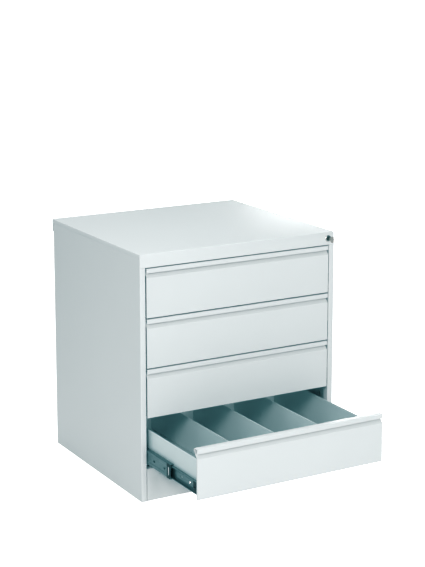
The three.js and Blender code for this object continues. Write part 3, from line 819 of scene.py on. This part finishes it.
def slotted(shape, start, step, count, sizes, finish):
    """shape with a row of slots punched in it by the slot tree."""
    tree = existing(bpy.data.node_groups, "slot_tree", build_slot_tree)
    return through_tree(loose_object("web", shape), tree, {
        "Start": start, "Step": step, "Count": count, "Slot Length": sizes.slot_length,
        "Slot Width": sizes.slot_width, "Depth": sizes.punch, "Material": finish_of(finish),
    })


# ---- Places read from the frame ---------------------------------------------------------------


def low(name):
    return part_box(name)[0]


def high(name):
    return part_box(name)[1]


def rounded_block(x, y, z, radius, segments=5):
    made = block(x, y, z)
    bmesh.ops.bevel(made, geom=made.edges[:], offset=radius, segments=segments, profile=0.5, affect="EDGES")
    return made


def folded_piece(name, line, axis, span, node_name):
    """A coated folded sheet of the body, swept along an axis, standing for the frame's node."""
    sizes = bpy.context.scene.cabinet_sheet
    outline = folded(line, sizes.sheet, sizes.fold, sizes.fold_steps)
    piece(name, prism(outline, axis, *span), "coat", "cabinet", (node_name,))


# ---- Body -------------------------------------------------------------------------------------


class CABINET_OT_lid(bpy.types.Operator):
    """Lid: one drawn shell with deep front and rear bands, shallow sides and inward returns."""

    bl_idname = "cabinet.lid"
    bl_label = "Lid"

    def execute(self, context):
        sizes = context.scene.cabinet_sheet
        lowest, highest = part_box("top_cover")
        barrel_low, barrel_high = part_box("lock_barrel")
        back = high("left_side_panel").y
        t, outer = sizes.sheet, sizes.fold + sizes.sheet
        below, far = lowest.z - 4 * outer, 1.0
        inner = highest.x - t
        x, z_band = (-far, far), highest.z - sizes.lid_side
        shell = combined(
            rounded_block((lowest.x, highest.x), (lowest.y, highest.y), (below, highest.z), outer),
            ("DIFFERENCE", rounded_block((-inner, inner), (lowest.y + t, highest.y - t),
                                         (below - far, highest.z - t), sizes.fold)),
            ("DIFFERENCE", block(x, (-far, far), (below - far, lowest.z))),
            ("DIFFERENCE", block(x, (lowest.y + sizes.lid_wrap, back + sizes.seam), (below - far, z_band))),
        )
        reach = inner - sizes.seam
        hole_centre = ((barrel_low.x + barrel_high.x) / 2, (barrel_low.z + barrel_high.z) / 2)
        hole = prism(disc_outline(hole_centre, context.scene.cabinet_lock.hole), "Y",
                     lowest.y - t, lowest.y + 2 * t)
        z_return = (lowest.z, lowest.z + t)
        shape = combined(
            shell,
            ("UNION", block((-reach, reach), (lowest.y + t / 2, lowest.y + sizes.front_return), z_return)),
            ("UNION", block((-inner, inner), (highest.y - sizes.rear_return, highest.y - t / 2), z_return)),
            ("DIFFERENCE", hole),
        )
        piece("top_cover_sheet", shape, "coat", "cabinet", ("top_cover",))
        return {"FINISHED"}


class CABINET_OT_side_panels(bpy.types.Operator):
    """Side panels: rear flange, side, box post with slide windows, and a joggled seat for the lid."""

    bl_idname = "cabinet.side_panels"
    bl_label = "Side panels"

    def execute(self, context):
        sizes = context.scene.cabinet_sheet
        t, seam = sizes.sheet, sizes.seam
        lid_low, lid_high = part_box("top_cover")
        x, front, back = lid_high.x, low("left_side_panel").y, high("left_side_panel").y
        top, seat_z, seat_x = lid_high.z - sizes.lid_side - seam, lid_high.z - t - seam, x - t - seam
        for name, side in SIDES:
            wrap = folded(sided(side, [
                (x - sizes.rear_flange, back), (x, back), (x, front), (x - sizes.post, front),
                (x - sizes.post, front + sizes.post_depth),
                (x - sizes.post + sizes.post_lip, front + sizes.post_depth),
            ]), t, sizes.fold, sizes.fold_steps)
            seat = folded(sided(side, [
                (seat_x - sizes.seat_ledge, seat_z), (seat_x, seat_z), (seat_x, top),
                (x - t / 2, top - 2 * t), (x - t / 2, top - 2 * t - sizes.seat_foot),
            ]), t, t / 2, sizes.fold_steps)
            post = sided_range(side, x - sizes.post - t, seat_x + seam / 2)
            windows = []
            for drawer in DRAWERS:
                slide_low, slide_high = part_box(f"{drawer}_slide_outer_{name}")
                centre = (slide_low.z + slide_high.z) / 2
                windows.append(("DIFFERENCE", block(
                    post, (front + sizes.window_edge, front + sizes.post_depth + t),
                    (centre - sizes.window, centre + sizes.window),
                )))
            shape = combined(
                prism(wrap, "Z", low("left_side_panel").z, top),
                ("DIFFERENCE", block(post, (front - t, front + sizes.post_depth + t),
                                     (lid_low.z - seam, lid_high.z))),
                ("DIFFERENCE", block((-1, 1), (front - t, front + sizes.lid_wrap + seam),
                                     (lid_low.z - seam, lid_high.z))),
                *windows,
                ("UNION", prism(seat, "Y", front + sizes.seat_start, back - sizes.seat_end)),
            )
            piece(f"{name}_side_sheet", shape, "coat", "cabinet", (f"{name}_side_panel",))
        return {"FINISHED"}


class CABINET_OT_panels(bpy.types.Operator):
    """Back panel, bottom pan and plinth."""

    bl_idname = "cabinet.panels"
    bl_label = "Back, bottom and plinth"

    def execute(self, context):
        lowest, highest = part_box("back_panel")
        line = [(highest.y, highest.z), (highest.y, lowest.z), (lowest.y, lowest.z)]
        folded_piece("back_sheet", line, "X", (lowest.x, highest.x), "back_panel")
        lowest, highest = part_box("bottom_panel")
        line = [(highest.x, highest.z), (highest.x, lowest.z), (lowest.x, lowest.z), (lowest.x, highest.z)]
        folded_piece("bottom_pan", line, "Y", (lowest.y, highest.y), "bottom_panel")
        lowest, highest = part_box("plinth_front")
        line = [(highest.y, lowest.z), (lowest.y, lowest.z), (lowest.y, highest.z), (highest.y, highest.z)]
        folded_piece("plinth_sheet", line, "X", (lowest.x, highest.x), "plinth_front")
        return {"FINISHED"}


class CABINET_OT_uprights(bpy.types.Operator):
    """Slotted channels that carry the slides."""

    bl_idname = "cabinet.uprights"
    bl_label = "Uprights"

    def execute(self, context):
        sizes = context.scene.cabinet_upright
        steps = context.scene.cabinet_sheet.fold_steps
        for name, side in SIDES:
            for place in ("front", "rear"):
                lowest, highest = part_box(f"{place}_upright_{name}")
                near, far = sorted((abs(lowest.x), abs(highest.x)))
                line = sided(side, [
                    (far, lowest.y), (near, lowest.y), (near, highest.y), (far, highest.y),
                ])
                outline = folded(line, sizes.sheet, sizes.fold, steps)
                mesh = slotted(
                    prism(outline, "Z", lowest.z, highest.z),
                    (side * near, (lowest.y + highest.y) / 2, lowest.z + sizes.first), (0, 0, sizes.pitch),
                    int((highest.z - lowest.z) / sizes.pitch) - 1, sizes, "galvanised",
                )
                piece(f"{place}_slotted_upright_{name}", mesh, "galvanised", "cabinet",
                      (f"{place}_upright_{name}",), edge=0.00015)
        return {"FINISHED"}


# ---- Slides -----------------------------------------------------------------------------------


def member_outline(side, back, tip, height, centre, sizes):
    """C-section of a slide member: web at back with a pressed rib, flanges towards tip."""
    upward = 1 if back > tip else -1
    z, rib = height / 2 * upward, sizes.rib
    web = back - rib * upward
    knee = 0.52 * z
    line = [
        (tip, z), (back, z), (back, knee), (web, knee - rib * upward),
        (web, -knee + rib * upward), (back, -knee), (back, -z), (tip, -z),
    ]
    radii = [sizes.tip_fold, *[sizes.rib_fold] * 4, sizes.tip_fold]
    outline = folded(sided(side, [(u, v) for u, v in line]), sizes.sheet, radii, 6)
    return [(u, v + centre) for u, v in outline]


def slide_places(drawer, name):
    """Back, tip, height, middle z and y span of each member of a slide."""
    places = {}
    for member in ("outer", "middle", "inner"):
        lowest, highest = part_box(f"{drawer}_slide_{member}_{name}")
        near, far = sorted((abs(lowest.x), abs(highest.x)))
        back, tip = (near, far) if member == "inner" else (far, near)
        places[member] = (back, tip, highest.z - lowest.z, (lowest.z + highest.z) / 2, lowest.y, highest.y)
    return places


def member_body(drawer, member):
    return {"outer": "cabinet", "middle": f"{drawer}_slides", "inner": drawer}[member]


class CABINET_OT_slides(bpy.types.Operator):
    """Three-member telescopic slides with ribbed and slotted webs."""

    bl_idname = "cabinet.slides"
    bl_label = "Slides"

    def execute(self, context):
        sizes = context.scene.cabinet_slide
        for drawer in DRAWERS:
            for name, side in SIDES:
                for member, place in slide_places(drawer, name).items():
                    back, tip, height, centre, front, rear = place
                    outline = member_outline(side, back, tip, height, centre, sizes)
                    pitch = sizes.slot_pitch
                    mesh = slotted(
                        prism(outline, "Y", front, rear),
                        (side * back, front + sizes.slot_start, centre), (0, pitch, 0),
                        int((rear - front) / pitch), sizes, "slide_zinc",
                    )
                    piece(f"{drawer}_{member}_member_{name}", mesh, "slide_zinc",
                          member_body(drawer, member),
                          (f"{drawer}_slide_{member}_{name}",), edge=0.00012)
        return {"FINISHED"}


def around(centre, half):
    return centre - half, centre + half


class CABINET_OT_slide_ends(bpy.types.Operator):
    """Black stops in the members' front ends, and the bright catch on the middle member."""

    bl_idname = "cabinet.slide_ends"
    bl_label = "Slide ends"

    def execute(self, context):
        sizes = context.scene.cabinet_stop
        sheet = context.scene.cabinet_slide.sheet
        for drawer in DRAWERS:
            for name, side in SIDES:
                places = slide_places(drawer, name)
                self.stop_bars(drawer, name, side, places, sheet, sizes)
                self.cap_and_catch(drawer, name, side, places["middle"], sizes)
                self.inner_stop(drawer, name, side, places["inner"], sheet, sizes)
        return {"FINISHED"}

    @staticmethod
    def stop_bars(drawer, name, side, places, sheet, sizes):
        """Bars in the middle member's ball races."""
        back, tip, height, centre, front, _ = places["middle"]
        inside = height / 2 - sheet - sizes.rail_gap
        rail = places["inner"][2] / 2 + sizes.rail_gap
        x = sided_range(side, tip, back - sheet - sizes.gap)
        y = (front + sizes.gap, front + sizes.bar_end)
        spans = {"upper": (centre + rail, centre + inside), "lower": (centre - inside, centre - rail)}
        for label, z in spans.items():
            piece(f"{drawer}_middle_stop_{label}_{name}", rounded_block(x, y, z, sizes.bar_round, 2),
                  "black_nylon", f"{drawer}_slides", edge=0)

    @staticmethod
    def cap_and_catch(drawer, name, side, place, sizes):
        """Cap over the middle member's end, with the catch in its hole."""
        back, _, height, centre, front, _ = place
        outside = back + sizes.skin
        hole_y = (front + sizes.hole_start, front + sizes.hole_end)
        through = sided_range(side, *around(outside, 4 * sizes.cap_sheet))
        cap = combined(
            rounded_block(sided_range(side, outside, outside + sizes.cap_sheet),
                          (front + sizes.seat_gap, front + sizes.cap_end), around(centre, height / 2),
                          0.4 * sizes.cap_sheet, 2),
            ("DIFFERENCE", block(through, hole_y, around(centre, sizes.hole))),
        )
        piece(f"{drawer}_middle_cap_{name}", cap, "black_nylon", f"{drawer}_slides", edge=0)
        catch = rounded_block(sided_range(side, outside, outside + sizes.catch_sheet),
                              (hole_y[0] + sizes.catch_edge, hole_y[1] - sizes.catch_edge),
                              around(centre, sizes.hole - sizes.catch_edge), 0.45 * sizes.catch_sheet, 2)
        piece(f"{drawer}_catch_{name}", catch, "ball_steel", f"{drawer}_slides", edge=0)

    @staticmethod
    def inner_stop(drawer, name, side, place, sheet, sizes):
        """Moulded stop in the inner member, with a soft nose and a groove along it."""
        back, tip, height, centre, front, _ = place
        inner, outer = back + sheet + sizes.seat_gap, tip - sizes.rail_gap
        start, end = front + sizes.nose_start, front + sizes.cap_end
        body = rounded_block(sided_range(side, inner, outer), (start, end),
                             around(centre, height / 2 - sheet - sizes.gap), sizes.nose, 3)
        groove = block(sided_range(side, inner - sheet, outer + sheet),
                       (start + sizes.groove_edge, end - sizes.groove_edge), around(centre, sizes.groove))
        piece(f"{drawer}_inner_stop_{name}", combined(body, ("DIFFERENCE", groove)), "black_nylon", drawer,
              edge=0)


class CABINET_OT_balls(bpy.types.Operator):
    """Ball rows that run between the slide members."""

    bl_idname = "cabinet.balls"
    bl_label = "Balls"

    def execute(self, context):
        sizes = context.scene.cabinet_slide
        count, end_space = 18, 0.024
        for drawer in DRAWERS:
            places = []
            for name, side in SIDES:
                members = slide_places(drawer, name)
                _, _, _, centre, front, rear = members["middle"]
                rows = (("outer", rear - end_space, -1), ("middle", front + end_space, 1))
                for member, start, step in rows:
                    _, tip, height = members[member][:3]
                    z = height / 2 - sizes.sheet - sizes.race / 2
                    x = side * (tip + sizes.ball)
                    for index in range(count):
                        y = start + step * index * sizes.ball_pitch
                        places += [((x, y, centre + z), (0, 0, 1)), ((x, y, centre - z), (0, 0, 1))]
            values = {"Diameter": sizes.ball}
            heads_on_points(f"{drawer}_slide_balls", "ball_tree", places, values, "ball_steel",
                            f"{drawer}_slides")
        return {"FINISHED"}


# ---- Drawers ----------------------------------------------------------------------------------


class CABINET_OT_fronts(bpy.types.Operator):
    """Drawer fronts: face, folded edges, and the inward pull under a down-turned band."""

    bl_idname = "cabinet.fronts"
    bl_label = "Drawer fronts"

    def execute(self, context):
        sizes, pull = context.scene.cabinet_sheet, context.scene.cabinet_front
        t = sizes.sheet
        for drawer in DRAWERS:
            lowest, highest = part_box(f"{drawer}_front")
            face, back = lowest.y, highest.y - t
            line = [
                (back, lowest.z), (face, lowest.z), (face, highest.z - pull.mouth),
                (back, highest.z - pull.back), (back, highest.z - t), (face + t, highest.z - t),
                (face + t, highest.z - pull.band),
            ]
            outline = folded(line, t, sizes.fold, sizes.fold_steps)
            edges = [
                ("UNION", block(sided_range(side, highest.x - t, highest.x), (face + t / 2, face + pull.edge),
                                (lowest.z + t / 2, highest.z - pull.mouth)))
                for _, side in SIDES
            ]
            depth = highest.y - face
            mitres = [
                ("DIFFERENCE", prism(
                    sided(side, [(highest.x + t, face + 2 * t), (highest.x + t, back + 2 * t),
                                 (highest.x - depth, back + 2 * t)]),
                    "Z", lowest.z - t, lowest.z + 2 * t))
                for _, side in SIDES
            ]
            shape = combined(prism(outline, "X", lowest.x, highest.x), *edges, *mitres)
            piece(f"{drawer}_front_sheet", shape, "coat", drawer, (f"{drawer}_front",),
                  edge=0.0004, edge_segments=3)
        return {"FINISHED"}


def hem_fold(sheet, tray):
    """Inside radius of a closed hem, a little less than half of its gap."""
    return 0.45 * (tray.hem_width - 2 * sheet)


class CABINET_OT_trays(bpy.types.Operator):
    """Card trays: floor and walls of one folded sheet with hemmed edges, and two end walls."""

    bl_idname = "cabinet.trays"
    bl_label = "Card trays"

    def execute(self, context):
        sizes, tray = context.scene.cabinet_sheet, context.scene.cabinet_tray
        t, wide, deep = sizes.sheet, tray.hem_width, tray.hem_height
        gap = hem_fold(t, tray)
        lug_low = low("lock_bar").y
        for drawer in DRAWERS:
            lowest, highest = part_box(f"{drawer}_tray")
            x, floor, top = -lowest.x, lowest.z, highest.z
            line = [
                (x - wide, top - deep), (x - wide, top), (x, top), (x, floor),
                (-x, floor), (-x, top), (wide - x, top), (wide - x, top - deep),
            ]
            radii = [gap, gap, sizes.fold, sizes.fold, gap, gap]
            shell = prism(folded(line, t, radii, sizes.fold_steps), "Y", lowest.y, highest.y)
            ends = []
            for y, inward in ((lowest.y, 1), (highest.y, -1)):
                inside = y + inward * wide
                wall = [(y, floor + t / 2), (y, top), (inside, top), (inside, top - deep)]
                wall = wall if inward > 0 else wall[::-1]
                outline = folded(wall, t, [gap, gap], sizes.fold_steps)
                ends.append(("UNION", prism(outline, "X", t / 2 - x, x - t / 2)))
            lug = block((x - t / 2, highest.x), self.lug_span(drawer, lug_low, tray),
                        self.lug_height(drawer, tray))
            shape = combined(shell, *ends, ("UNION", lug))
            piece(f"{drawer}_tray_sheet", shape, "inside_coat", drawer,
                  (f"{drawer}_tray",), edge=0.00015)
        return {"FINISHED"}

    @staticmethod
    def lug_span(drawer, bar_y, tray):
        behind_front = bar_y - low("left_side_panel").y
        start = low(f"{drawer}_front").y + behind_front + tray.lug_gap
        return start, start + tray.lug_sheet

    @staticmethod
    def lug_height(drawer, tray):
        start = high(f"{drawer}_slide_outer_right").z + tray.lug_rise
        return start, start + tray.lug_height


class CABINET_OT_dividers(bpy.types.Operator):
    """Dividers with a hemmed top and a flange on the tray's floor."""

    bl_idname = "cabinet.dividers"
    bl_label = "Dividers"

    def execute(self, context):
        sizes, tray = context.scene.cabinet_sheet, context.scene.cabinet_tray
        t, gap = sizes.sheet, hem_fold(sizes.sheet, tray)
        for name in sorted(n for n in frame["nodes"] if "_divider_" in n):
            lowest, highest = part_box(name)
            left, floor, top = lowest.x + (tray.hem_width - t) / 2, lowest.z, highest.z
            line = [
                (left + tray.flange, floor), (left, floor), (left, top), (left + tray.hem_width, top),
                (left + tray.hem_width, top - tray.hem_height),
            ]
            outline = folded(line, t, [sizes.fold, gap, gap], sizes.fold_steps)
            piece(name + "_sheet", prism(outline, "Y", lowest.y, highest.y), "inside_coat",
                  name.split("_divider_")[0], (name,), edge=0.00015)
        return {"FINISHED"}


# ---- Lock -------------------------------------------------------------------------------------


class CABINET_OT_lock(bpy.types.Operator):
    """Cam lock: flanged barrel, slotted plug and the key."""

    bl_idname = "cabinet.lock"
    bl_label = "Lock"

    def execute(self, context):
        sizes = context.scene.cabinet_lock
        lowest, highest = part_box("lock_barrel")
        centre = ((lowest.x + highest.x) / 2, (lowest.z + highest.z) / 2)
        flange, body, bore = (highest.x - lowest.x) / 2, sizes.body, sizes.bore
        y, end, soft = lowest.y, highest.y, sizes.soft
        behind = y + sizes.flange
        barrel = turned([
            (bore + soft, y), (flange - 2 * soft, y), (flange - soft, y + soft * 0.3), (flange, y + soft),
            (flange, behind - soft / 3), (flange - soft / 3, behind), (body, behind), (body, end),
            (bore, end), (bore, y + soft),
        ], centre)
        piece("lock_barrel_turned", barrel, "chrome", "cabinet", ("lock_barrel",), edge=0)
        lowest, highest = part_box("lock_plug")
        radius, face = bore - sizes.play, lowest.y
        rim, step, sink = radius - soft, soft / 2, 0.001
        plug = turned([
            (0, face), (rim * 0.82, face), (rim * 0.86, face + step), (rim, face + step),
            (radius, face + soft), (radius, end), (0, end),
        ], centre, 40)
        shape = combined(
            plug,
            ("UNION", block(around(centre[0], sizes.square), (end - sink, highest.y),
                            around(centre[1], sizes.square))),
            ("DIFFERENCE", block(around(centre[0], sizes.keyway), (face - sink, end - sink),
                                 around(centre[1], sizes.keyway_height))),
        )
        # The plug's near-black plate is painted shade.
        piece("lock_plug_turned", shape, "dark_plate", "lock", ("lock_plug",), edge=0.0001)
        self.cut_key(centre, sizes)
        self.finish_cam()
        return {"FINISHED"}

    @staticmethod
    def cut_key(centre, sizes):
        """Key with a round bow, a ring hole, a milled groove and cut teeth on the blade's end."""
        lowest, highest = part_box("key")
        half, bow = sizes.blade, (highest.z - lowest.z) / 2
        bow_y = lowest.y + bow
        past, point, first_tooth = 0.001, 0.002, 0.0035
        shoulder = math.asin((half + past) / bow)
        outline = disc_outline((bow_y, centre[1]), bow, shoulder, 2 * math.pi - shoulder, 40)
        blade = [(highest.y - point, centre[1] - half), (highest.y, centre[1] - half + point)]
        teeth = []
        start, edge = highest.y - first_tooth, centre[1] + half
        for tooth, depth in enumerate((0.0010, 0.0017, 0.0007, 0.0014)):
            middle = start - tooth * sizes.tooth_pitch
            teeth += [(middle + sizes.tooth_top, edge), (middle + sizes.tooth_root, edge - depth),
                      (middle - sizes.tooth_root, edge - depth), (middle - sizes.tooth_top, edge)]
        x = (lowest.x, highest.x)
        hole = prism(disc_outline((bow_y - bow / 2, centre[1]), sizes.ring_hole, steps=24), "X",
                     x[0] - past, x[1] + past)
        groove_z = (centre[1] - 0.4 * half, centre[1] - half / 15)
        grooves = [
            ("DIFFERENCE", block(span, (bow_y + bow * 0.8, highest.y + past), groove_z))
            for span in ((x[0] - past, x[0] + sizes.groove), (x[1] - sizes.groove, x[1] + past))
        ]
        shape = combined(prism(outline + blade + teeth, "X", *x), ("DIFFERENCE", hole), *grooves)
        piece("key_cut", shape, "key_steel", "lock", ("key",), edge=0.0003)

    @staticmethod
    def finish_cam():
        """The cam and the lock bar keep their frame shapes, with softened edges."""
        for name in ("lock_cam", "lock_bar"):
            kept = frame["nodes"][name]
            weld = kept.modifiers.new("weld", "WELD")
            weld.merge_threshold = 0.00001
            soft = kept.modifiers.new("soft edges", "BEVEL")
            soft.width, soft.segments, soft.limit_method = 0.0002, 2, "ANGLE"
            kept.data.materials.clear()
            kept.data.materials.append(finish_of("galvanised"))


# ---- Fasteners --------------------------------------------------------------------------------


def row(start, end, count, facing):
    """Evenly spaced (point, facing) pairs from start to end."""
    start, end = Vector(start), Vector(end)
    return [(start.lerp(end, i / (count - 1)), facing) for i in range(count)]


class CABINET_OT_fasteners(bpy.types.Operator):
    """Rivets along the back panel and the dividers, and screws in the slides."""

    bl_idname = "cabinet.fasteners"
    bl_label = "Rivets and screws"

    def execute(self, context):
        sizes = context.scene.cabinet_fastener
        rivets = {"Diameter": sizes.rivet, "Height": sizes.rivet_height}
        screws = {"Diameter": sizes.screw, "Height": sizes.screw_height}
        lowest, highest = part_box("back_panel")
        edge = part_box("left_side_panel")[1].y
        places = []
        for _, side in SIDES:
            x = side * (high("top_cover").x - sizes.seam_inset)
            count = round((highest.z - lowest.z) / sizes.rivet_pitch)
            start, end = lowest.z + sizes.seam_start, low("top_cover").z - sizes.seam_end
            places += row((x, edge, start), (x, edge, end), count, (0, 1, 0))
        heads_on_points("back_rivets", "rivet_tree", places, rivets, "coat", "cabinet")
        for drawer in DRAWERS:
            self.slide_screws(drawer, screws, sizes)
            self.divider_rivets(drawer, rivets, sizes)
        return {"FINISHED"}

    @staticmethod
    def slide_screws(drawer, values, sizes):
        """Screws through the inner members into the tray's walls."""
        places = []
        for name, side in SIDES:
            back, _, _, centre, front, rear = slide_places(drawer, name)["inner"]
            slide = bpy.context.scene.cabinet_slide
            x = side * (back + slide.sheet + slide.rib)
            for y in (front + sizes.first_screw, front + sizes.middle_screw, rear - sizes.last_screw):
                places.append(((x, y, centre), (side, 0, 0)))
        heads_on_points(f"{drawer}_slide_screws", "screw_tree", places, values, "ball_steel",
                        drawer)

    @staticmethod
    def divider_rivets(drawer, values, sizes):
        """Rivets through the dividers' flanges into the tray's floor."""
        sheet = bpy.context.scene.cabinet_sheet
        places = []
        for name in sorted(n for n in frame["nodes"] if n.startswith(f"{drawer}_divider_")):
            lowest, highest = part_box(name)
            x, z = highest.x - sizes.flange_inset, lowest.z + sheet.sheet
            start, end = lowest.y + sizes.flange_end, highest.y - sizes.flange_end
            places += row((x, start, z), (x, end, z), 4, (0, 0, 1))
        small = {"Diameter": values["Diameter"] * 0.75, "Height": values["Height"] * 0.8}
        heads_on_points(f"{drawer}_divider_rivets", "rivet_tree", places, small, "inside_coat",
                        drawer)


# ---- Stage ------------------------------------------------------------------------------------


def area_light(name, place, size, power, rgb):
    """Soft rectangular lamp that looks at the cabinet's middle."""
    data = bpy.data.lights.new(name, "AREA")
    data.shape, data.size, data.size_y = "RECTANGLE", size[0], size[1]
    data.energy, data.color = power, rgb
    light = bpy.data.objects.new(name, data)
    bpy.context.scene.collection.objects.link(light)
    light.location = place
    light.rotation_euler = (Vector((0, 0, 0.35)) - Vector(place)).to_track_quat("-Z", "Y").to_euler()


class CABINET_OT_stage(bpy.types.Operator):
    """Pale floor, soft studio light and the camera."""

    bl_idname = "cabinet.stage"
    bl_label = "Stage"

    def execute(self, context):
        scene, stage = context.scene, context.scene.cabinet_stage
        self.set_tones(scene.view_settings)
        self.lay_floor(stage)
        self.light_sky(scene, stage)
        for name, place, size, power in (
            ("front_light", (-0.2, -4.6, 1.15), (0.9, 1.1), stage.front_power),
            ("side_light", (-3.1, -2.9, 2.7), (1.2, 1.2), stage.side_power),
            ("back_light", (3.2, 3.1, 0.75), (1.6, 1.0), stage.back_power),
            ("top_light", (-0.3, 0.3, 3.83), (2.2, 2.2), stage.top_power),
        ):
            area_light(name, place, size, power, stage.lamp)
        data = bpy.data.cameras.new("camera")
        data.lens, data.sensor_width, data.shift_y = stage.lens, 36.0, stage.rise
        camera = bpy.data.objects.new("camera", data)
        scene.collection.objects.link(camera)
        camera.location = stage.eye
        turn = math.radians(stage.azimuth)
        camera.rotation_euler = Euler((math.radians(90 - stage.tilt), 0, turn))
        scene.camera = camera
        return {"FINISHED"}

    @staticmethod
    def set_tones(view):
        """Cool, deep shadows and neutral lights."""
        view.view_transform = "Standard"
        view.use_curve_mapping = True
        red, green, blue = list(view.curve_mapping.curves)[:3]
        for curve, points in (
            (red, ((0.035, 0.016), (0.08, 0.036), (0.28, 0.20), (0.50, 0.485))),
            (green, ((0.055, 0.058), (0.12, 0.112), (0.33, 0.30), (0.55, 0.55))),
            (blue, ((0.055, 0.064), (0.12, 0.120), (0.33, 0.31), (0.55, 0.55))),
        ):
            for place, value in points:
                curve.points.new(place, value)
        view.curve_mapping.update()

    @staticmethod
    def lay_floor(stage):
        made = bmesh.new()
        bmesh.ops.create_grid(made, x_segments=8, y_segments=8, size=60.0)
        floor = loose_object("floor", made)
        floor.location.z = low("left_side_panel").z - stage.floor_gap
        material, tree, shader, place = start_material("floor_finish")
        mottle = node(tree, "ShaderNodeTexNoise", None, {"Vector": place, "Scale": 2.0, "Detail": 2.0})
        rgb = stage.floor
        tree.links.new(mixed(tree, mottle.outputs["Fac"], shade(rgb, 0.995), shade(rgb, 1.005)),
                       shader.inputs["Base Color"])
        shader.inputs["Roughness"].default_value = 0.9
        shader.inputs["Specular IOR Level"].default_value = 0.1
        seen = node(tree, "ShaderNodeLightPath").outputs["Is Camera Ray"]
        glow = node(tree, "ShaderNodeEmission", None, {1: maths(tree, "MULTIPLY", seen, stage.floor_glow)})
        both = node(tree, "ShaderNodeAddShader", None, {0: shader.outputs[0], 1: glow.outputs[0]})
        tree.links.new(both.outputs[0], tree.nodes["Material Output"].inputs[0])
        floor.data.materials.append(material)

    @staticmethod
    def light_sky(scene, stage):
        """White behind the object, and a soft sky for its light."""
        world = bpy.data.worlds.new("sky")
        world.use_nodes = True
        scene.world = world
        tree = world.node_tree
        output = tree.nodes["World Output"]
        backdrop = tree.nodes["Background"]
        backdrop.inputs[0].default_value = (1, 1, 1, 1)
        soft = node(tree, "ShaderNodeBackground", None,
                    {0: (*stage.sky, 1), 1: stage.sky_strength})
        seen = node(tree, "ShaderNodeLightPath").outputs["Is Camera Ray"]
        both = node(tree, "ShaderNodeMixShader", None,
                    {0: seen, 1: soft.outputs[0], 2: backdrop.outputs[0]})
        tree.links.new(both.outputs[0], output.inputs[0])


OPERATORS = (
    CABINET_OT_lid,
    CABINET_OT_side_panels,
    CABINET_OT_panels,
    CABINET_OT_uprights,
    CABINET_OT_slides,
    CABINET_OT_slide_ends,
    CABINET_OT_balls,
    CABINET_OT_fronts,
    CABINET_OT_trays,
    CABINET_OT_dividers,
    CABINET_OT_lock,
    CABINET_OT_fasteners,
    CABINET_OT_stage,
)


class CABINET_PT_panel(bpy.types.Panel):
    """Lists the cabinet's pieces in build order."""

    bl_idname = "CABINET_PT_panel"
    bl_label = "Card file cabinet"
    bl_space_type = "VIEW_3D"
    bl_region_type = "UI"
    bl_category = "Cabinet"

    def draw(self, context):
        for operator in OPERATORS:
            self.layout.operator(operator.bl_idname)


CLASSES = (*PROPERTY_GROUPS.values(), *OPERATORS, CABINET_PT_panel)


def register():
    for made in CLASSES:
        bpy.utils.register_class(made)
    for name, group in PROPERTY_GROUPS.items():
        setattr(bpy.types.Scene, name, PointerProperty(type=group))


def unregister():
    for name in PROPERTY_GROUPS:
        delattr(bpy.types.Scene, name)
    for made in reversed(CLASSES):
        bpy.utils.unregister_class(made)


def main():
    register()
    for operator in OPERATORS:
        section, action = operator.bl_idname.split(".")
        getattr(getattr(bpy.ops, section), action)()


if __name__ == "__main__":
    main()
